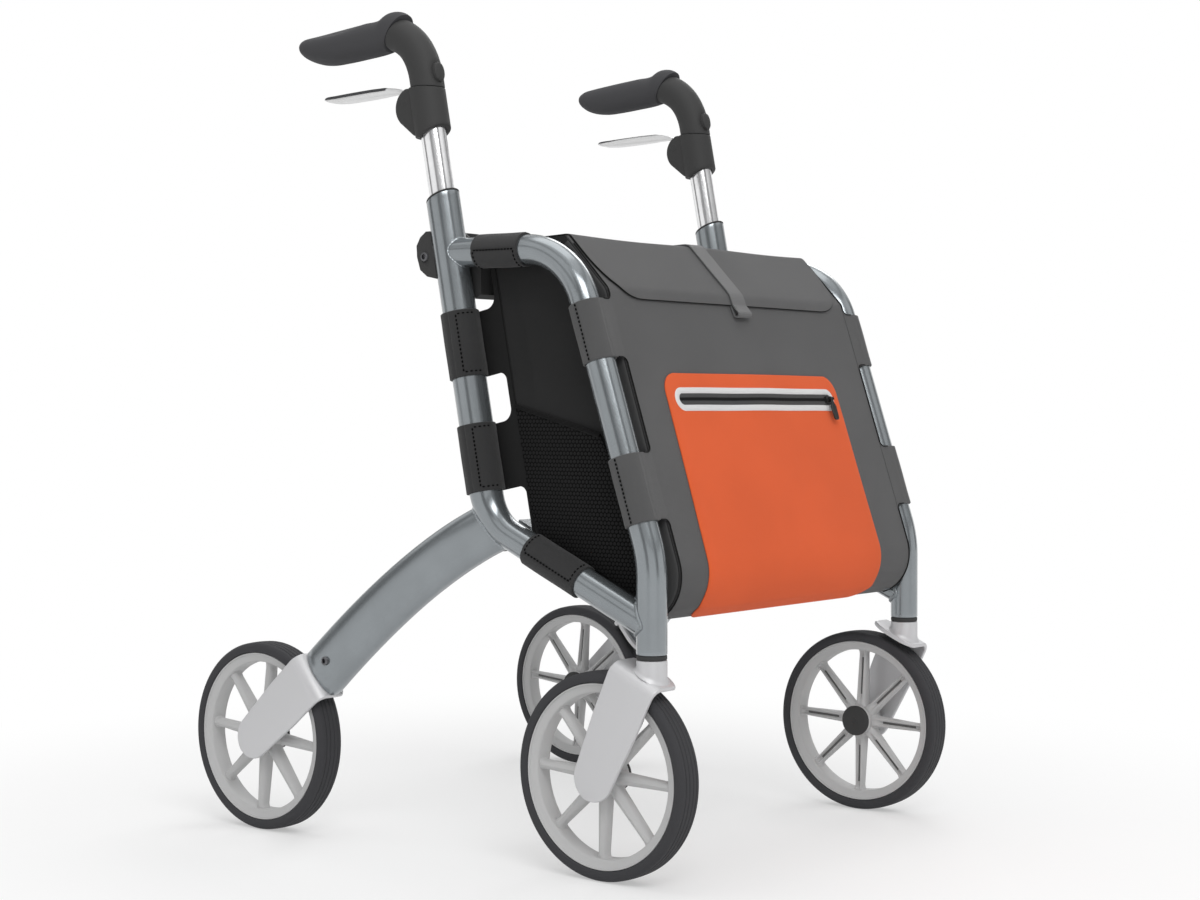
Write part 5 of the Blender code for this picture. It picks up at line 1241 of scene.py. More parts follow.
def upright_tab(start, end, low_edge):
    """The flat cloth from an upright's sleeve to the side panel, its two ends spread by the
    round corners of the holes above and below it."""
    middle, half = (start + end) / 2, np.linalg.norm(end - start) / 2 - 0.0004
    q = np.linspace(-0.004, 0.0410, 46)
    up = half + flare(q - 0.0327 + 0.0125, 0.0125)
    down = half + flare(q - low_edge + 0.0085, 0.0085)
    s = np.linspace(-1, 1, 30)[None, :, None]
    reach = np.where(s > 0, up[:, None, None], down[:, None, None]) * s
    place = middle + q[:, None, None] * FRONTWARD + reach * np.array([SIN_L, COS_L])
    x = np.interp(q, [0.0, 0.010], [SIDE_X + UPRIGHT_R + 0.0012, PANEL_X])[:, None]
    # Finish 3 is the side cloth painted darker as shade
    return cloth(in_plane(place, x), 0.0020, 3)


def back_strip():
    """The narrow strip behind the side panel's long seam: lines from the holes' edge to the
    seam, and a thin cord laid in the seam."""
    z = np.linspace(0.3120, 0.6100, 60)
    out = np.interp(z, [0.34, 0.36, 0.42], [0.0365, 0.0365, 0.0327])
    q = out[:, None] + (0.0405 - out)[:, None] * np.linspace(0, 1, 6)[None]
    axis = np.stack([on_upright(0.0)[0] + z * math.tan(LEAN), z], 1)
    place = axis[:, None] + q[..., None] * FRONTWARD
    # The strip takes finish 3, the side cloth painted darker as shade
    return [cloth(in_plane(place, -0.2113), 0.0020, 3),
            edge_roll(in_plane(axis + 0.0394 * FRONTWARD, -0.2122), 0.0007, finish=4)]


# The front cloth where it turns onto the sides
EDGE_X = -BAG_HALF
TAB_END = -0.2088


def tab_lift(x):
    """How far the cloth over a tube stands off the bag's front, from the sleeve's own
    surface to the front panel's."""
    return np.interp(x, [-0.2345, -0.2305, -0.2265, -0.2190, TAB_END],
                     [0.0012, 0.0021, 0.0020, 0.0012, 0.0005])


def tab_runs(start, end):
    """Where a front sleeve's two ends lie down the front line."""
    return float(run_at(start[1] + 0.0046)), float(run_at(end[1] + 0.0046))


def front_tab(start, end):
    """The front cloth where it runs on over a tube: rows from the sleeve to the panel's edge,
    widened there by a 6.5 mm round at each corner of the slots beside it."""
    first, last = tab_runs(start, end)
    x = np.linspace(-0.2345, TAB_END, 34)[:, None]
    s = np.linspace(-1, 1, 26)[None]
    half = (last - first) / 2 + flare(x - TAB_END + 0.0065, 0.0065)
    run = (first + last) / 2 + s * half
    return between(on_front(x, run, tab_lift(x)), on_front(x, run, tab_lift(x) - 0.0014), 1,
                   np.stack(np.broadcast_arrays(x, run), -1))


def corner_cloth(run, inner, reach, finish):
    """Cloth turned round the bag's front corner onto its side: a quarter round, then straight
    on to an inner line."""
    a = np.linspace(0, np.pi / 2, 6)[None]
    first = on_front(EDGE_X - reach * np.sin(a), run[:, None], -reach * (1 - np.cos(a)) - 0.0004)
    s = np.linspace(0, 1, 14)[1:, None]
    rest = first[:, -1:, 1:] * (1 - s) + inner[:, None] * s
    return cloth(np.concatenate([first, in_plane(rest, EDGE_X - reach)], 1), 0.0008, finish)


def front_corner():
    """The front's grey cloth turned round the front corner and painted darker as shade, seen in
    the slots beside the front tubes, and the thin dark line where the front cloth's edge is bound."""
    run = np.linspace(0.006, 0.4300, 150)
    shells = [corner_cloth(run, on_front(EDGE_X, run, -0.021)[:, 1:], 0.0030, 5)]
    x = np.linspace(-0.2215, TAB_END, 14)
    spread = flare(x - TAB_END + 0.0065, 0.0065)
    (first0, last0), (first1, last1) = [tab_runs(s, e) for s, e, _, grey, _ in SLEEVES if grey]

    def line(parts):
        xs = np.concatenate([p[0] for p in parts])
        runs = np.concatenate([p[1] for p in parts])
        return on_front(xs, runs, tab_lift(xs) + 0.0002)
    straight = np.full(60, EDGE_X)
    lines = [line([(straight, np.linspace(0.012, first0 - 0.0066, 60)),
                   (x[::-1], first0 - spread[::-1])]),
             line([(x, last0 + spread),
                   (straight, np.linspace(last0 + 0.0066, first1 - 0.0066, 60)),
                   (x[::-1], first1 - spread[::-1])]),
             line([(x, last1 + spread), (straight, np.linspace(last1 + 0.0066, 0.4200, 60))])]
    return shells + [edge_roll(path, 0.00065, 8, 4) for path in lines]


def side_panel():
    """The side panel laid flat: lines ruled from the straight back edge to the outline's other
    edge."""
    v = np.linspace(0, 1, 90)
    low, high = np.array(BAG_CORNERS[4]), np.array(BAG_CORNERS[0])
    back = low + v[:, None] * (high - low)
    outline = rounded(BAG_CORNERS[1:], [0, 0.012, 0.045, 0], 24)[::-1]
    front = evenly(outline[1:], 90)
    share = np.linspace(0, 1, 70)[None, :, None]
    return back[:, None] * (1 - share) + front[:, None] * share


def side_wave(y, z):
    """The side cloth's depth, inwards: a shallow hollow with a few long creases."""
    hollow = 0.0030 * np.exp(-(((y + 0.16) / 0.075) ** 2 + ((z - 0.49) / 0.075) ** 2))
    return hollow + 0.0012 * np.sin(34 * y + 21 * z) * np.exp(-((z - 0.47) / 0.10) ** 2)


def outline_share(flat):
    """How far inside the side outline a point lies, from 0 at the edge to 1 at 25 mm."""
    corners = np.array(BAG_CORNERS)
    nearest = np.full(flat.shape[:2], 1.0)
    for k in range(5):
        p, q = corners[k], corners[(k + 1) % 5]
        d = unit(q - p)
        inside = (flat - p) @ np.array([-d[1], d[0]])
        nearest = np.minimum(nearest, inside)
    return np.clip(nearest / 0.025, 0, 1)


def bag_side():
    """The side panel, its sleeves and tabs, and the front cloth that turns onto it."""
    flat = side_panel()
    x = -0.2106 + side_wave(flat[..., 0], flat[..., 1]) * outline_share(flat) ** 2
    shells = [cloth(in_plane(flat, x), 0.0021)] + back_strip() + front_corner()
    for start, end, radius, grey, turn in SLEEVES:
        # Sleeves other than the front's grey ones take finish 2, the side cloth painted lighter as
        # a highlight
        shells.append(sleeve(start, end, radius, 1 if grey else 2, turn))
        if grey:
            shells.append(front_tab(start, end))
    return shells + [upright_tab(*SLEEVES[0][:2], 0.0327), upright_tab(*SLEEVES[1][:2], 0.0365),
                     tube_tab(*SLEEVES[2][:2]), tube_tab(*SLEEVES[5][:2])]


MESH_OUTLINE = [(on_upright(0.453)[0] - BAG_SETBACK / COS_L - 0.0015, 0.453), (-0.1960, 0.4240),
                (on_front_tube(0.320)[0] + 0.0135, 0.320), (-0.2440, 0.2790),
                (-0.2380, 0.2725), (-0.1200, 0.3260),
                (on_upright(0.350)[0] - BAG_SETBACK / COS_L - 0.0015, 0.350)]


def mesh_point(y, z):
    """The side pocket's cloth: it stands a few millimetres off the panel, fullest low down."""
    u = np.clip((z - 0.27) / 0.17, 0, 1)
    belly = 0.0035 * np.sin(np.pi * np.clip((u - 0.02) / 1.0, 0, 1)) * np.exp(
        -((y + 0.165 + 0.33 * (0.42 - z)) / 0.050) ** 2)
    return -0.2126 - belly


def mesh_panel():
    """The netting: rows from its slanted top hem down to the bottom edge, each ruled between
    the two side edges of its outline."""
    o = np.array(MESH_OUTLINE)
    back = evenly(np.array([o[0], o[6], o[5]]), 60)
    front = evenly(np.array([o[1], o[2], o[3], o[4]]), 60)
    share = np.linspace(0, 1, 60)[None, :, None]
    flat = back[:, None] * (1 - share) + front[:, None] * share
    return in_plane(flat, mesh_point(flat[..., 0], flat[..., 1]))


def mesh_pocket():
    """The netting with a thick hem along its top."""
    net = mesh_panel()
    return [cloth(net, 0.0009), edge_roll(net[0] + np.array([-0.0001, 0, -0.0010]), 0.0022, 12, 1)]


FLAP_Y = -0.0600
FLAP_TOP = evenly(np.concatenate([[(FLAP_Y, 0.6154), (-0.1000, 0.6164)],
                                  rounded([BAG_CORNERS[1], BAG_CORNERS[2],
                                           tuple(FRONT_LINE[np.argmin(np.abs(
                                               FRONT_RUN - run_at(0.5560)))])],
                                          [0, 0.012, 0], 30)]), 140)


def on_flap(x, row, lift):
    """A point of the flap by its row: the path over the bag's top and down its front, lifted
    outwards, softened at the two turns, with the front cloth's own slack below them."""
    line = FLAP_TOP.copy()
    for _ in range(6):
        line[1:-1] = 0.25 * line[:-2] + 0.5 * line[1:-1] + 0.25 * line[2:]
    slope = unit(np.gradient(line, axis=0))
    out = np.stack([slope[:, 1], -slope[:, 0]], 1)
    x, row = np.broadcast_arrays(np.asarray(x, float), np.asarray(row, float))
    k = row * (len(line) - 1)
    n = np.arange(len(line))
    y, z = np.interp(k, n, line[:, 0]), np.interp(k, n, line[:, 1])
    ny, nz = np.interp(k, n, out[:, 0]), np.interp(k, n, out[:, 1])
    below = np.clip((0.600 - z) / 0.030, 0, 1)
    edge = np.clip(1 - (x / 0.205) ** 2, 0, 1)
    sag = 0.0011 * edge * np.sin(18 * x + 1.1) * np.sin(np.pi * np.clip(row * 1.15, 0, 1))
    run = run_at(np.minimum(z, 0.6184))
    off = lift + below * slack(x, run) + sag * (1 - below) \
        - 0.0012 * edge * np.sin(np.pi * row) * (1 - below)
    return np.stack([x, y + ny * off, z + nz * off], -1)


def flap_half(row):
    """Half the flap's width at a row: 206 mm, drawn in over the last 50 mm by a superellipse
    of power 2.3."""
    z = np.interp(row, np.linspace(0, 1, len(FLAP_TOP)), FLAP_TOP[:, 1])
    y = np.interp(row, np.linspace(0, 1, len(FLAP_TOP)), FLAP_TOP[:, 0])
    drop = np.clip((0.6060 - z) / 0.0500, 0, 1) * (y < -0.14)
    return 0.1580 + 0.0480 * (1 - drop ** 2.3) ** (1 / 2.3)


def flap_cloth():
    """The flap: rows down its path, each as wide as the outline is there, and a thin dark
    edging carried round its free edge."""
    row = np.concatenate([np.linspace(0, 0.62, 60),
                          0.62 + 0.38 * np.sin(np.linspace(0, np.pi / 2, 80)[1:])])
    half = flap_half(row)[:, None]
    x, r = np.broadcast_arrays(half * np.linspace(-1, 1, 90)[None], row[:, None])
    top, low = on_flap(x, r, 0.0024), on_flap(x, r, 0.0006)
    uv = np.stack([x, r * 0.19], -1)
    middle = (top + low) / 2
    edge = np.concatenate([middle[:, 0], middle[-1, 1:-1], middle[::-1, -1]])
    return [between(top, low, 0, uv), edge_roll(edge, 0.0008, finish=1)]


STRAP_FOOT = 0.5460       # height of the strap's loop


def strap_cloth():
    """The webbing strap over the flap; below the flap's edge it stands off a little, turns
    under in a half round and comes back up behind itself."""
    x = np.linspace(-0.0115, 0.0125, 16)[None]
    foot = float(run_at(STRAP_FOOT))
    down, t, back = (np.linspace(0, end, n)[1:, None] for end, n in ((1, 10), (np.pi, 13), (1, 8)))
    rows = [on_flap(x, np.linspace(0.02, 1.0, 120)[:, None], 0.0040),
            on_front(x, run_at(np.linspace(0.5560, STRAP_FOOT, 10))[1:, None],
                     0.0040 + 0.0042 * down ** 1.2),
            on_front(x, foot + 0.0036 * np.sin(t), 0.0051 + 0.0031 * np.cos(t)),
            on_front(x, foot - 0.0120 * back, 0.0020 - 0.0008 * back)]
    return [cloth(np.concatenate(rows), 0.0014)]


POCKET_X = -0.0080
POCKET_TOP, POCKET_LOW = float(run_at(0.4838)), 0.4220
POCKET_LONG = POCKET_LOW - POCKET_TOP
ZIP_RUN = float(run_at(0.4578))
ZIP_LONG = 0.1300


def pocket_half(run):
    """Half the pocket's width: 153 mm at the top, 158 mm at the bottom, less the arcs of its
    20 mm and 30 mm corners."""
    s = np.clip((run - POCKET_TOP) / POCKET_LONG, 0, 1)
    up = np.clip(0.020 - (run - POCKET_TOP), 0, 0.020)
    low = np.clip(0.030 - (POCKET_LOW - run), 0, 0.030)
    return 0.153 + 0.005 * s - flare(up, 0.020) - flare(low, 0.030)


def pocket_lift(x, run):
    """How far the pocket stands off the front: a quick rise from its sewn edge, a low belly,
    and a shallow channel where the zip is."""
    side = np.clip((pocket_half(run) - np.abs(x)) / 0.010, 0, 1)
    ends = np.clip(np.minimum(run - POCKET_TOP, POCKET_LOW - run) / 0.010, 0, 1)
    edge = np.minimum(side, ends)
    rise = 0.0011 + 0.0012 * np.sqrt(np.clip(edge * (2 - edge), 0, 1))
    s = np.clip((run - ZIP_RUN) / (POCKET_LOW - ZIP_RUN), 0, 1)
    belly = 0.0010 * np.clip(1 - (x / 0.155) ** 2, 0, 1) * np.sin(np.pi * s) ** 1.2
    pucker = 0.0005 * np.sin(60 * x + 40 * run) * np.exp(-((run - ZIP_RUN) / 0.018) ** 2)
    return rise + belly + pucker * edge


def pocket_cloth():
    """The pocket's sheet, its edge turned down to the front panel all round."""
    s = 0.5 - 0.5 * np.cos(np.linspace(0.03, np.pi - 0.03, 110))
    run = (POCKET_TOP + POCKET_LONG * s)[:, None]
    x = pocket_half(run) * np.sin(np.linspace(-1, 1, 120) * np.pi / 2)[None]
    lift = pocket_lift(x, run)
    uv = np.stack(np.broadcast_arrays(x, run), -1)
    x = x + POCKET_X
    return between(on_front(x, run, lift), on_front(x, run, lift - 0.0008), 0, uv)


def on_pocket(x, run, lift):
    """A point of the pocket's face, with a further lift."""
    x, run = np.broadcast_arrays(np.asarray(x, float), np.asarray(run, float))
    return on_front(x + POCKET_X, run, pocket_lift(x, run) + lift)


def racetrack(radius, lift, count=150):
    """A long oval about the zip: straight sides and half-round ends of one radius, offset
    from a middle line 260 mm long."""
    side = np.linspace(-ZIP_LONG, ZIP_LONG, count)
    t = np.linspace(-np.pi / 2, np.pi / 2, 25)[1:-1]
    middle = np.concatenate([side, np.full(23, ZIP_LONG), side[::-1], np.full(23, -ZIP_LONG)])
    nx = np.concatenate([0 * side, np.cos(t), 0 * side, -np.cos(t)])
    ny = np.concatenate([0 * side - 1, np.sin(t), 0 * side + 1, -np.sin(t)])
    return on_pocket(middle + nx * radius, ZIP_RUN + ny * radius, lift)


def zip_border():
    """The reflective border round the zip: a raised ring between two long ovals."""
    share = np.linspace(0, 1, 7)
    radii = 0.0122 + (0.0056 - 0.0122) * share
    rise = 0.0002 + 0.0008 * np.sqrt(np.sin(np.pi * share))
    rows = [racetrack(r, lift) for r, lift in zip(radii, rise)]
    rows += [racetrack(r, -0.0006) for r in radii[::-1]]
    return grid(np.array(rows), around=True, ring=True)


def zip_tape():
    """The black tape down the middle of the zip and the row of teeth on it."""
    x = np.linspace(-0.1372, 0.1372, 160)[None]
    v = np.linspace(-0.0064, 0.0064, 9)[:, None]
    shells = [between(on_pocket(x, ZIP_RUN + v, 0.0004), on_pocket(x, ZIP_RUN + v, -0.0004))]
    count = 180
    at = np.linspace(-0.1355, 0.1355, count)
    cube = np.array([(a, b, c) for a in (-1, 1) for b in (-1, 1) for c in (-1, 1)], float)
    shift = np.where(np.arange(count) % 2 == 0, 0.00035, -0.00035)
    points = on_pocket(at[:, None] + cube[None, :, 0] * 0.00048,
                       ZIP_RUN + shift[:, None] + cube[None, :, 1] * 0.00130,
                       0.0008 + cube[None, :, 2] * 0.00045).reshape(-1, 3)
    one = np.array([(0, 1, 3, 2), (4, 6, 7, 5), (0, 4, 5, 1), (2, 3, 7, 6), (0, 2, 6, 4),
                    (1, 5, 7, 3)])
    faces = (one[None] + (np.arange(count) * 8)[:, None, None]).reshape(-1, 4)
    shells.append(Shell(points, [faces], [np.zeros((len(faces), 4, 2))], 1))
    return shells


def back_panel():
    """The back panel: a sheet between the bag's back corners, hollowed by a slow wave."""
    low, high = np.array(BAG_CORNERS[4]), np.array(BAG_CORNERS[0])
    v, u = np.linspace(0, 1, 60)[:, None], np.linspace(-1, 1, 60)[None]
    base = low + v[..., None] * (high - low)
    normal = unit(np.array([-(high - low)[1], (high - low)[0]]))
    hollow = -0.0012 + 0.0016 * (1 - u ** 2) * np.sin(np.pi * v) * np.sin(9 * u + 5 * v)
    y, z = base[..., 0] - normal[0] * hollow, base[..., 1] - normal[1] * hollow
    return cloth(np.stack(np.broadcast_arrays(BAG_HALF * u, y, z), -1), 0.0022)


def floor_panel():
    """The stiffened floor inside the bag, level across and parallel to the lower tubes."""
    y, x = np.linspace(-0.2780, -0.1230, 50)[:, None], np.linspace(-0.2090, 0.2090, 40)[None]
    z = on_lower_tube(y)[1] + 0.0255 / math.cos(SLOPE) + 0.0012
    return cloth(np.stack(np.broadcast_arrays(x, y, z), -1), 0.0022)


# Finishes of this object's pieces
def woven(finish, pitch, vector):
    """A plain weave: over-threads |sin| along one way, under-threads |sin| along the other,
    changing place in a chequer of half the pitch."""
    u, v, _ = finish.apart(vector)
    a, b = u * (math.pi / pitch), v * (math.pi / pitch)
    chequer = ((u / pitch).whole() + (v / pitch).whole()) * 0.5
    over = chequer.part() * 2.0
    warp, weft = a.wave().absolute(), b.wave().absolute()
    return warp * weft.ease(0.0, 0.5) * (1.0 - over) + weft * warp.ease(0.0, 0.5) * over


def fabric_finish(name, colour, pitch, mottle, roughness, plane=None, sheen=0.25):
    """Cloth: a weave, a cloud and fine fibres in its tone, the weave and fibres in its relief."""
    finish = Finish(name, roughness, Sheen_Weight=sheen, Sheen_Roughness=0.5,
                    Specular_IOR_Level=0.16)
    weave = woven(finish, pitch, plane(finish) if plane else finish.cloth_place())
    cloud = finish.noise(9.0, 3.0)
    fibre = finish.noise(900.0)
    level = cloud.ease(0.30, 0.70) * 0.55 + fibre.ease(0.25, 0.75) * 0.25 + weave * 0.20
    tone = finish.blend(level, shade(colour, 1 - mottle), shade(colour, 1 + mottle))
    finish.done(tone, roughness + 0.05 * (fibre - 0.5), weave * 0.75 + fibre * 0.4, 0.00022)


def side_plane(finish):
    """Coordinates in the side panel's own plane: Y and Z."""
    _, y, z = finish.apart(finish.place())
    return finish.node("ShaderNodeCombineXYZ", X=y, Y=z)


def plain_finish(name, metal, grain, low, high, rough, gain, depth, worn=None, coat=None,
                 **fixed):
    """One noise between two colours, in the roughness and in the relief; worn gives another
    factor for the colours."""
    finish = Finish(name, rough, metal, **fixed)
    fine = finish.noise(*grain)
    finish.done(finish.blend(worn(finish, fine) if worn else fine, low, high), rough + gain * fine,
                fine, depth, coat)


def make_finishes(colours):
    """Makes every finish of the rollator."""
    frame_paint, silver = colours.frame, colours.silver
    paint = Finish("frame_paint", 0.20, 0.72, Coat_Roughness=0.08)
    flake, peel, haze = paint.cells(2600.0), paint.noise(700.0, 1.0), paint.noise(26.0)
    tone = paint.blend(flake.ease(0.1, 0.8) * 0.6 + haze.ease(0.3, 0.7) * 0.4,
                       shade(frame_paint, 0.90), shade(frame_paint, 1.12))
    paint.done(paint.blend(paint.wear() * 0.35, tone, shade(frame_paint, 1.8)),
               0.19 + 0.06 * haze, peel, 0.000012, coat=0.5)

    plain_finish("weld_bead", 0.55, (180.0, 3.0), shade(frame_paint, 0.85),
                 shade(frame_paint, 1.15), 0.32, 0.15, 0.00012, coat=0.4)
    plain_finish("crossbar_paint", 0.5, (340.0, 3.0, (0.1, 1.0, 1.0)), shade(frame_paint, 0.70),
                 shade(frame_paint, 0.95), 0.36, 0.12, 0.00003)
    # Painted shade: the silver darkened to near black for the sheets in the spokes' slots
    plain_finish("rim_recess", 0.2, (900.0,), shade(silver, 0.10), shade(silver, 0.20), 0.56, 0.1,
                 0.00003)
    plain_finish("blackened_steel", 0.75, (1400.0,), (0.045, 0.045, 0.05), (0.22, 0.22, 0.23),
                 0.28, 0.15, 0.00002, lambda finish, fine: finish.wear())
    plain_finish("black_enamel", 0.0, (300.0, 3.0), (0.006, 0.006, 0.006), (0.05, 0.05, 0.05),
                 0.24, 0.1, 0.00002, lambda finish, fine: finish.wear() * fine)
    plain_finish("lever_silver", 0.35, (1000.0,), (0.72, 0.72, 0.72), (0.80, 0.80, 0.80),
                 0.26, 0.1, 0.00002)
    plain_finish("dark_thread", 0.0, (2400.0, 1.0), (0.001, 0.001, 0.001), (0.004, 0.004, 0.004),
                 0.66, 0.1, 0.00004, Specular_IOR_Level=0.05)

    for name, colour, rough, metal in (("fork_silver", silver, 0.30, 0.72),
                                       ("rim_silver", shade(silver, 0.94), 0.32, 0.60)):
        cast = Finish(name, rough, metal)
        fine, soft = cast.noise(1500.0), cast.noise(34.0, 3.0)
        tone = cast.blend(soft.ease(0.25, 0.75) * 0.6 + fine * 0.4, shade(colour, 0.93),
                          shade(colour, 1.05))
        cast.done(cast.blend(cast.wear() * 0.3, tone, shade(colour, 1.15)),
                  rough + 0.08 * (soft - 0.5), fine, 0.00003)

    tube = Finish("polished_tube", 0.13, 0.8)
    streak, scuff = tube.noise(1200.0, 2.0, (1.0, 1.0, 0.02)), tube.noise(60.0, 4.0)
    tube.done(tube.blend(scuff.ease(0.35, 0.75), (0.88, 0.88, 0.89), (0.80, 0.80, 0.81)),
              0.10 + 0.14 * streak * scuff, streak, 0.00001)

    tyre = Finish("tyre_rubber", 0.68, Specular_IOR_Level=0.25)
    crown = (1.0 - tyre.apart(tyre.cloth_place())[1].ease(0.0225, 0.0275)) * 0.75
    dust, patch = tyre.noise(240.0, 4.0), tyre.noise(24.0, 3.0)
    worn = tyre.blend(crown * (0.6 + 0.4 * patch) + dust * 0.15, shade(colours.tyre, 0.80),
                      shade(colours.tyre, 2.1))
    tyre.done(worn, 0.56 + 0.20 * crown + 0.1 * dust, dust, 0.00008)

    plastic = Finish("black_plastic", 0.44, Specular_IOR_Level=0.35)
    pebble, dull = plastic.cells(1500.0), plastic.noise(48.0, 3.0)
    plastic.done(plastic.blend(plastic.wear() * 0.5 + dull.ease(0.3, 0.7) * 0.3,
                               shade(colours.plastic, 0.90), shade(colours.plastic, 1.45)),
                 0.40 + 0.12 * dull, pebble, 0.00005)

    grip = Finish("grip_rubber", 0.60)
    pores, rub = grip.cells(1100.0), grip.noise(36.0, 3.0)
    grip.done(grip.blend(rub.ease(0.3, 0.75) * 0.7 + grip.wear() * 0.3, shade(colours.grip, 0.90),
                         shade(colours.grip, 1.30)), 0.54 + 0.14 * rub, pores, 0.00007)

    front, side = colours.front, colours.side
    for name, colour, pitch, mottle, rough, plane, sheen in (
            ("front_fabric", front, 0.0011, 0.10, 0.88, None, 0.15),
            ("side_fabric", side, 0.0011, 0.14, 0.86, side_plane, 0.12),
            # Painted highlight: the side cloth made lighter for the sleeves, where their curves
            # catch the light
            ("sleeve_fabric", shade(side, 1.90), 0.0011, 0.12, 0.80, None, 0.15),
            # Painted shade: the side cloth made darker for the tabs and the strip behind the long
            # seam, in the recesses beside the tubes
            ("strip_fabric", shade(side, 0.62), 0.0011, 0.12, 0.86, side_plane, 0.1),
            # Painted shade: the front's grey cloth made darker where it turns round the corner
            # into the slots beside the front tubes
            ("slot_fabric", shade(front, 0.66), 0.0011, 0.10, 0.86, side_plane, 0.1),
            ("zip_fabric", shade(side, 3.20), 0.0011, 0.10, 0.86, None, 0.1),
            ("orange_fabric", colours.pocket, 0.0011, 0.06, 0.86, None, 0.06),
            ("dark_edging", shade(side, 0.30), 0.0008, 0.15, 0.80, None, 0.05),
            ("reflective_border", (0.80, 0.80, 0.80), 0.0007, 0.04, 0.42, None, 0.0)):
        fabric_finish(name, colour, pitch, mottle, rough, plane, sheen)

    net = Finish("netting", 0.82, Sheen_Weight=0.05, Specular_IOR_Level=0.06)
    _, y, z = net.apart(net.place())
    k, quarter = 2 * math.pi / 0.0039, math.pi / 2
    hexes = ((z * k + quarter).wave() + ((y * 0.866 + z * 0.5) * k + quarter).wave()
             + ((y * 0.866 - z * 0.5) * k + quarter).wave())
    dots, tangle = hexes.ease(-1.0, -0.1), net.noise(500.0)
    net.done(net.blend(dots * (0.75 + 0.25 * tangle), (0.0010, 0.0010, 0.0010),
                       (0.0175, 0.0175, 0.0178)), 0.8 - 0.15 * dots, dots + 0.2 * tangle, 0.0004)

    strap = Finish("webbing", 0.80, Sheen_Weight=0.2)
    u, v, _ = strap.apart(strap.cloth_place())
    ribs, cords = ((way * (math.pi / pitch)).wave().absolute() for way, pitch in
                   ((v, 0.0016), (u, 0.0022)))
    fuzz = strap.noise(1400.0)
    strap.done(strap.blend(ribs * 0.5 + fuzz * 0.5, shade(colours.strap, 0.86),
                           shade(colours.strap, 1.12)), 0.78 + 0.08 * fuzz,
               ribs * 0.6 + cords * 0.5, 0.0003)


def tint(name, description, default):
    """A colour property with linear values."""
    return bpy.props.FloatVectorProperty(name=name, description=description, subtype="COLOR",
                                         default=default, min=0, max=1)


def length(name, description, default, low, high):
    """A length property in metres."""
    return bpy.props.FloatProperty(name=name, description=description, unit="LENGTH",
                                   default=default, min=low, max=high)


class RollatorColours(bpy.types.PropertyGroup):
    """Colours of the rollator's finishes, as linear values."""
    frame: tint("Frame paint", "Blue-grey metallic paint", (0.248, 0.270, 0.284))
    silver: tint("Wheel silver", "Forks and rims", (0.80, 0.80, 0.80))
    tyre: tint("Tyre rubber", "Tyre side walls", (0.030, 0.030, 0.031))
    plastic: tint("Dark plastic", "Housings and brackets", (0.030, 0.030, 0.031))
    grip: tint("Grip rubber", "Palm grips", (0.042, 0.042, 0.043))
    front: tint("Front cloth", "Bag front and flap", (0.096, 0.096, 0.097))
    side: tint("Side cloth", "Bag sides and sleeves", (0.0190, 0.0190, 0.0193))
    pocket: tint("Pocket cloth", "Front pocket", (0.765, 0.122, 0.036))
    strap: tint("Strap webbing", "Closing strap", (0.122, 0.122, 0.124))


class RollatorSizes(bpy.types.PropertyGroup):
    """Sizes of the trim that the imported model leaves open."""
    stitch_pitch: length("Stitch pitch", "From stitch to stitch", 0.0040, 0.001, 0.02)
    bead_radius: length("Weld bead", "Half a weld bead's width", 0.0021, 0.0005, 0.006)
    bracket_edge: length("Bracket edge", "Rounding of brackets", 0.0011, 0.0002, 0.003)
    camera_height: length("Camera height", "Above the floor", 0.4461, 0.05, 3.0)


def colours_in(context):
    return context.scene.rollator_colours


def sizes_in(context):
    return context.scene.rollator_sizes


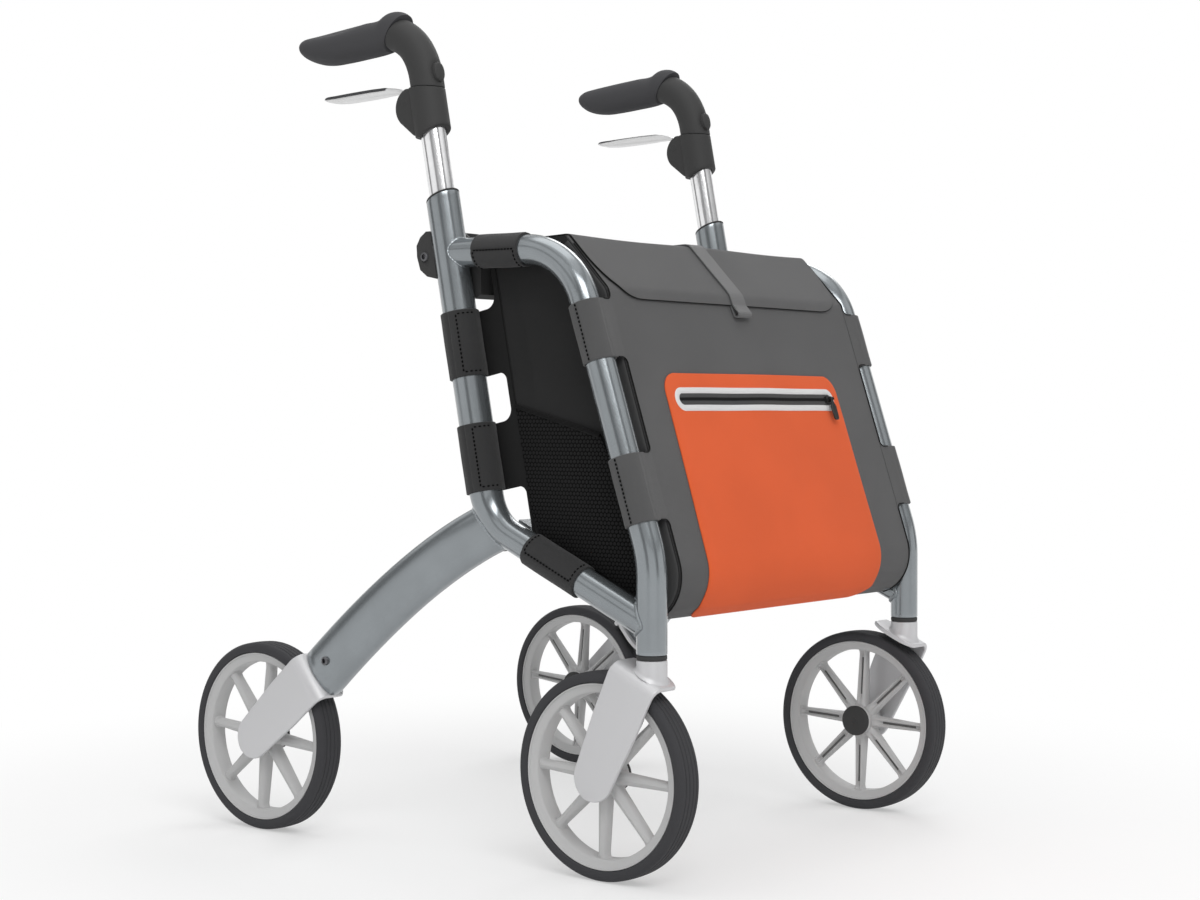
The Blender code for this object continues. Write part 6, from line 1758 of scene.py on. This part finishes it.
class ROLLATOR_OT_stage(bpy.types.Operator):
    """Sets the floor, the studio light and the camera"""
    bl_idname = "rollator.stage"
    bl_label = "Stage"

    def execute(self, context):
        scene = context.scene
        scene.view_settings.view_transform = "Standard"
        camera = bpy.data.cameras.new("view")
        camera.lens, camera.sensor_width = 61.8, 36.0
        camera.clip_end = 60.0
        viewer = bpy.data.objects.new("view", camera)
        viewer.location = (-1.7594, -1.4407, sizes_in(context).camera_height)
        viewer.rotation_euler = Vector((0.779, 0.627, -0.0185)).to_track_quat("-Z", "Y").to_euler()
        scene.collection.objects.link(viewer)
        scene.camera = viewer

        radii = np.array([0.0003, 0.6, 1.5, 3.0, 6.0, 14.0])
        disc = grid(radii[:, None, None] * spokes_round(turns(96), (1, 0, 0), (0, 1, 0)),
                    around=True, caps=False)
        floor = make_piece("studio_floor", [disc], [], None, closed=False)
        pale = Finish("studio_floor", 0.9)
        x, y, _ = pale.apart(pale.place())
        seen, _ = pale.shown()
        share = seen * ((x * x + y * y) ** 0.5).ease(0.42, 1.05, 0.42, 1.0)
        glow = pale.node("ShaderNodeEmission", Color=(1, 1, 1, 1), Strength=1.0)
        matt = pale.node("ShaderNodeBsdfDiffuse", Color=(0.90, 0.90, 0.90, 1))
        mixed = pale.node("ShaderNodeMixShader", _0=share, _1=matt, _2=glow)
        pale.tree.links.new(mixed.socket, pale.tree.nodes["Material Output"].inputs["Surface"])
        floor.data.materials.append(pale.material)

        # A white surround; in metal it also shows five narrow dark cards and two dark rings
        world = bpy.data.worlds.new("studio")
        world.use_nodes = True
        sky = Graph(world.node_tree)
        x, y, z = sky.apart(sky.node("ShaderNodeTexCoord"))
        seen, glossy = sky.shown()
        cards = (y.maths("ARCTAN2", y, x) * 5.0 + 0.6).wave().ease(-0.80, -0.45, 1.0, 0.0)
        rings = (z * 13.0 + 0.4).wave().ease(-0.85, -0.40, 1.0, 0.0) * z.ease(0.08, 0.16)
        dark = (cards * z.ease(0.45, 0.75, 1.0, 0.0)).most(rings * z.ease(0.75, 0.95, 0.8, 0.0))
        level = 0.62 + seen * 0.38 - glossy * dark * 0.80
        sky.tree.links.new(level.socket, sky.tree.nodes["Background"].inputs["Strength"])
        sky.tree.nodes["Background"].inputs["Color"].default_value = (1, 1, 1, 1)
        scene.world = world

        for name, place, size, power, aim in (
                ("key", (-1.5, -1.9, 2.4), (1.7, 1.1), 30.0, (0, 0, 0.45)),
                ("rim", (1.9, 0.6, 2.1), (1.2, 1.2), 13.5, (0, 0, 0.5)),
                ("top", (0.0, 0.2, 2.9), (1.8, 1.8), 12.5, (0, 0, 0.4))):
            lamp = bpy.data.lights.new(name, "AREA")
            lamp.shape, lamp.size, lamp.size_y, lamp.energy = "RECTANGLE", size[0], size[1], power
            holder = bpy.data.objects.new(name, lamp)
            holder.location = place
            holder.rotation_euler = (Vector(aim) - Vector(place)).to_track_quat("-Z",
                                                                                "Y").to_euler()
            scene.collection.objects.link(holder)
        return {"FINISHED"}


class ROLLATOR_OT_finishes(bpy.types.Operator):
    """Makes the paint, metal, rubber, plastic and cloth finishes"""
    bl_idname = "rollator.finishes"
    bl_label = "Finishes"

    def execute(self, context):
        make_finishes(colours_in(context))
        return {"FINISHED"}


class ROLLATOR_OT_frames(bpy.types.Operator):
    """Builds the two welded side frames with their collars and leg screws"""
    bl_idname = "rollator.frames"
    bl_label = "Side frames"

    def execute(self, context):
        size = sizes_in(context).bead_radius
        shells = [upright_tube(), loop_tube(), rear_leg()] + gusset()
        base = np.array([SIDE_X, *on_upright(TOP_TUBE_Z + 0.0004)])
        beads = [bead(saddle(base, (0, -1, 0.003), TUBE_R, UP, UPRIGHT_R), size * 0.6)]
        stem = np.array([SIDE_X, *on_lower_tube(STEM_Y)])
        beads.append(bead(saddle(stem, (0, 1, LOWER_RATE), TUBE_R * 0.995, (0, 0, 1), TUBE_R),
                          size))
        beads.append(bead(leg_weld(), size * 0.8, rows=260))
        beads[1].finish = 1
        make_pair("side_frame", shells + beads, ["frame_paint", "weld_bead"], "frame",
                  "frame")
        make_pair("mouth_collar", [collar()], ["black_plastic"], "frame",
                  "collar")
        make_pair("socket_screw", [leg_screw()], ["blackened_steel"], "frame",
                  "leg_screw")
        return {"FINISHED"}


def trimmed_bracket(points):
    """The upper bracket's outline drawn in behind the upright, its outboard face made flat and
    the top tube's seat closed where it would show."""
    x, y, z = points.T.copy()
    side = np.sign(x.mean())
    seat = (np.abs(y) < 0.0004) & (np.hypot(np.abs(x) + SIDE_X, z - TOP_TUBE_Z) < 0.0170)
    z = np.where(y < -0.022, np.minimum(z, 0.6165), z)
    y = np.where(seat, y - 0.008, np.where(y > 0.004, 0.004 + (y - 0.004) * 0.795, y))
    return np.stack([side * np.minimum(np.abs(x), 0.2435), y, z], -1)


def bracket_screw():
    """The bracket's socket screw on its outboard face."""
    return turned([(0.0047, -0.0012), (0.0048, 0.0010), (0.0044, 0.0017), (0.0036, 0.0020),
                   (0.0027, 0.0020), (0.0025, 0.0016), (0.0023, 0.0004), (0.0004, 0.0003)],
                  (-0.2434, 0.0072, 0.6030), 36, (-1, 0, 0), ring=False)


class ROLLATOR_OT_brackets(bpy.types.Operator):
    """Rounds the edges of the brackets, crossbars and brake shoes"""
    bl_idname = "rollator.brackets"
    bl_label = "Brackets and crossbars"

    def execute(self, context):
        edge = sizes_in(context).bracket_edge
        for side in ("right", "left"):
            softened("upper_bracket_" + side, "upper_bracket_eased_" + side, "black_plastic",
                     edge * 2.2, segments=4, reshape=trimmed_bracket)
            softened("rear_bracket_" + side, "rear_bracket_eased_" + side, "black_plastic", edge)
            softened("brake_shoe_" + side, "brake_shoe_eased_" + side, "black_plastic",
                     edge * 0.7)
            for link in ("upper", "rear", "front"):
                softened("crossbar_" + link + "_" + side, "folding_bar_" + link + "_" + side,
                         "crossbar_paint", 0.0009)
        make_pair("bracket_screw", [bracket_screw()], ["blackened_steel"], "frame")
        return {"FINISHED"}


class ROLLATOR_OT_wheels(bpy.types.Operator):
    """Builds the four wheels: tyre, spoked rim and hub cap"""
    bl_idname = "rollator.wheels"
    bl_label = "Wheels"

    def execute(self, context):
        corners = (("front_right", SIDE_X, AXLE_FRONT, -2.2),
                   ("front_left", -SIDE_X, AXLE_FRONT, -2.0),
                   ("rear_right", REAR_X, AXLE_REAR, -5.2),
                   ("rear_left", -REAR_X, AXLE_REAR, -4.7))
        for corner, x, axle, phase in corners:
            def own(shells):
                shells = mirrored(shells) if x > 0 else shells
                return set_at(shells, (x, *axle))
            body = "wheel_" + corner
            make_piece("tyre_tread_" + corner, own([tyre()]), ["tyre_rubber"], body,
                       ("tyre_" + corner,), sharp=50)
            # The rim's second finish is the painted shade in the spokes' slots
            make_piece("spoked_rim_" + corner, own([wheel_rim(), wheel_hub()] + spokes(phase)),
                       ["rim_silver", "rim_recess"], body, ("rim_" + corner,))
            make_piece("domed_cap_" + corner, own([hub_cap()]), ["black_plastic"], body,
                       ("hub_cap_" + corner,))
        return {"FINISHED"}


class ROLLATOR_OT_forks(bpy.types.Operator):
    """Builds the single-sided forks, the casters' sleeves and their swivel rings"""
    bl_idname = "rollator.forks"
    bl_label = "Forks"

    def execute(self, context):
        front = [fork_strip(AXLE_FRONT, FRONT_FORK, SIDE_X), stem_sleeve()] \
            + axle_boss(AXLE_FRONT, SIDE_X)
        make_pair("caster_fork", front, ["fork_silver"], "caster", "fork_front")
        make_pair("caster_ring", [swivel_ring()], ["black_plastic"], "caster",
                  "swivel_ring")
        rear = [fork_strip(AXLE_REAR, REAR_FORK, REAR_X)] + axle_boss(AXLE_REAR, REAR_X) \
            + shoe_lugs()
        make_pair("rear_fork", rear, ["fork_silver"], "frame", "fork_rear")
        return {"FINISHED"}


class ROLLATOR_OT_handles(bpy.types.Operator):
    """Builds the telescoping handles with housings, necks, grips, buttons and levers"""
    bl_idname = "rollator.handles"
    bl_label = "Handles"

    def execute(self, context):
        make_pair("polished_tube", [handle_tube()], ["polished_tube"], "handle",
                  "handle_tube")
        make_pair("housing", [housing_body()] + housing_disc(), ["black_plastic"], "handle",
                  "brake_housing")
        make_pair("curved_neck", [handle_neck()], ["black_plastic"], "handle",
                  "handle_neck")
        make_pair("palm_grip", [palm_grip()], ["grip_rubber"], "handle", "grip")
        make_pair("oval_button", [release_button()], ["black_plastic"], "button",
                  "release_button")
        pad = lever_pad()
        pad.finish = 1
        make_pair("lever_bar", lever_body() + [pad], ["lever_silver", "grip_rubber"], "lever",
                  "brake_lever")
        return {"FINISHED"}


def gathers(piece):
    """Gives a piece of the bag a mesh of its own."""
    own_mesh(piece)


class ROLLATOR_OT_bag_sides(bpy.types.Operator):
    """Builds the bag's side panels with their sleeves round the tubes, and the side pockets"""
    bl_idname = "rollator.bag_sides"
    bl_label = "Bag sides"

    def execute(self, context):
        pitch = sizes_in(context).stitch_pitch
        seams = side_seams(pitch)
        # Finish 2 is the side cloth painted lighter as a highlight; finishes 3 and 5 are the side
        # and front cloth painted darker as shade
        sides = make_pair("bag_side_cloth", bag_side(),
                          ["side_fabric", "front_fabric", "sleeve_fabric", "strip_fabric",
                           "dark_edging", "slot_fabric"], "frame", "bag_side")
        nets = make_pair("side_net", mesh_pocket(), ["netting", "dark_edging"], "frame",
                         "mesh_pocket")
        make_pair("side_seams", seams, ["dark_thread"], "frame")
        return {"FINISHED"}


def side_seams(pitch):
    """Rows of stitches on the sleeves: one along each tube's outboard side and, but for the
    front tubes, one from it round the tube near each end."""
    shells = []
    for start, end, radius, _, turn in SLEEVES:
        along = unit(end - start)
        across = (turn or 1) * np.array([-along[1], along[0]])
        share = np.linspace(0.06 if turn else 0.01, 0.94 if turn else 0.99, 40)[:, None]
        turned_to = math.radians(28 if turn < 0 and abs(along[1]) > 0.9 else 0)
        out = np.array([-math.cos(turned_to), *(math.sin(turned_to) * across)])
        line = in_plane(start + share * (end - start), SIDE_X) + (radius + 0.0021) * out
        shells.append(stitches(line, np.tile(out, (40, 1)), 0.0027, pitch, 0.00090))
        for k in (0.06, 0.94) if turn else ():
            angle = np.linspace(turned_to + 0.03, 1.5, 40)
            spoke = spokes_round(angle, (-1, 0, 0), (0, *across))
            at = np.array([SIDE_X, *(start + k * (end - start))])
            shells.append(stitches(at + (radius + 0.0023) * spoke, spoke, 0.0027, pitch, 0.00075))
    return shells


class ROLLATOR_OT_bag_panels(bpy.types.Operator):
    """Builds the bag's front, back and floor"""
    bl_idname = "rollator.bag_panels"
    bl_label = "Bag panels"

    def execute(self, context):
        front = make_piece("front_cloth", [front_panel()], ["front_fabric"], "right_frame",
                           ("bag_front",))
        back = make_piece("back_cloth", [back_panel()], ["side_fabric"], "right_frame",
                          ("bag_back",))
        floor = make_piece("floor_cloth", [floor_panel()], ["side_fabric"], "right_frame",
                           ("bag_floor",))
        for piece, long in ((front, FRONT_RUN[-1]), (back, 0.321), (floor, 0.194)):
            gathers(piece)
        return {"FINISHED"}


class ROLLATOR_OT_flap(bpy.types.Operator):
    """Builds the flap over the bag's opening and the strap on it"""
    bl_idname = "rollator.flap"
    bl_label = "Flap and strap"

    def execute(self, context):
        flap = make_piece("flap_cloth", flap_cloth(), ["front_fabric", "dark_edging"], "lid",
                          ("flap",))
        strap = make_piece("strap_webbing", strap_cloth(), ["webbing"], "lid",
                           ("flap_strap",))
        for piece, flat in ((flap, (0.410, 0.175)), (strap, (0.030, 0.190))):
            gathers(piece)
        return {"FINISHED"}


def along_zip(points):
    """The slider and its puller move sideways with the pocket."""
    return points + [POCKET_X, 0, 0]


class ROLLATOR_OT_pocket(bpy.types.Operator):
    """Builds the zipped front pocket"""
    bl_idname = "rollator.pocket"
    bl_label = "Front pocket"

    def execute(self, context):
        pocket = make_piece("orange_pocket", [pocket_cloth()], ["orange_fabric"], "right_frame",
                            ("front_pocket",))
        gathers(pocket)
        border = make_piece("zip_border", [zip_border()], ["reflective_border"], "right_frame")
        tape = make_piece("zip_tape", zip_tape(), ["zip_fabric", "dark_edging"], "right_frame")
        for piece in (border, tape):
            gathers(piece)
        softened("zip_slider", "zip_slider_eased", "black_enamel", 0.0005,
                 reshape=along_zip)
        softened("zip_puller", "zip_puller_eased", "black_enamel", 0.0005,
                 reshape=along_zip)
        return {"FINISHED"}


class ROLLATOR_PT_panel(bpy.types.Panel):
    """Lists the steps that build the rollator"""
    bl_idname = "ROLLATOR_PT_panel"
    bl_label = "Shopping Rollator"
    bl_space_type = "VIEW_3D"
    bl_region_type = "UI"
    bl_category = "Rollator"

    def draw(self, context):
        layout = self.layout
        for group in (colours_in(context), sizes_in(context)):
            box = layout.box()
            for name in group.bl_rna.properties.keys():
                if name not in ("rna_type", "name"):
                    box.prop(group, name)
        for step in STEPS:
            layout.operator(step.bl_idname)


STEPS = (ROLLATOR_OT_stage, ROLLATOR_OT_finishes, ROLLATOR_OT_frames, ROLLATOR_OT_brackets,
         ROLLATOR_OT_wheels, ROLLATOR_OT_forks, ROLLATOR_OT_handles, ROLLATOR_OT_bag_sides,
         ROLLATOR_OT_bag_panels, ROLLATOR_OT_flap, ROLLATOR_OT_pocket)
CLASSES = (RollatorColours, RollatorSizes) + STEPS + (ROLLATOR_PT_panel,)


def register():
    for kind in CLASSES:
        bpy.utils.register_class(kind)
    bpy.types.Scene.rollator_colours = bpy.props.PointerProperty(type=RollatorColours)
    bpy.types.Scene.rollator_sizes = bpy.props.PointerProperty(type=RollatorSizes)


def unregister():
    del bpy.types.Scene.rollator_sizes
    del bpy.types.Scene.rollator_colours
    for kind in reversed(CLASSES):
        bpy.utils.unregister_class(kind)


def main():
    register()
    bpy.ops.rollator.stage()
    bpy.ops.rollator.finishes()
    bpy.ops.rollator.frames()
    bpy.ops.rollator.brackets()
    bpy.ops.rollator.wheels()
    bpy.ops.rollator.forks()
    bpy.ops.rollator.handles()
    bpy.ops.rollator.bag_sides()
    bpy.ops.rollator.bag_panels()
    bpy.ops.rollator.flap()
    bpy.ops.rollator.pocket()


if __name__ == "__main__":
    main()
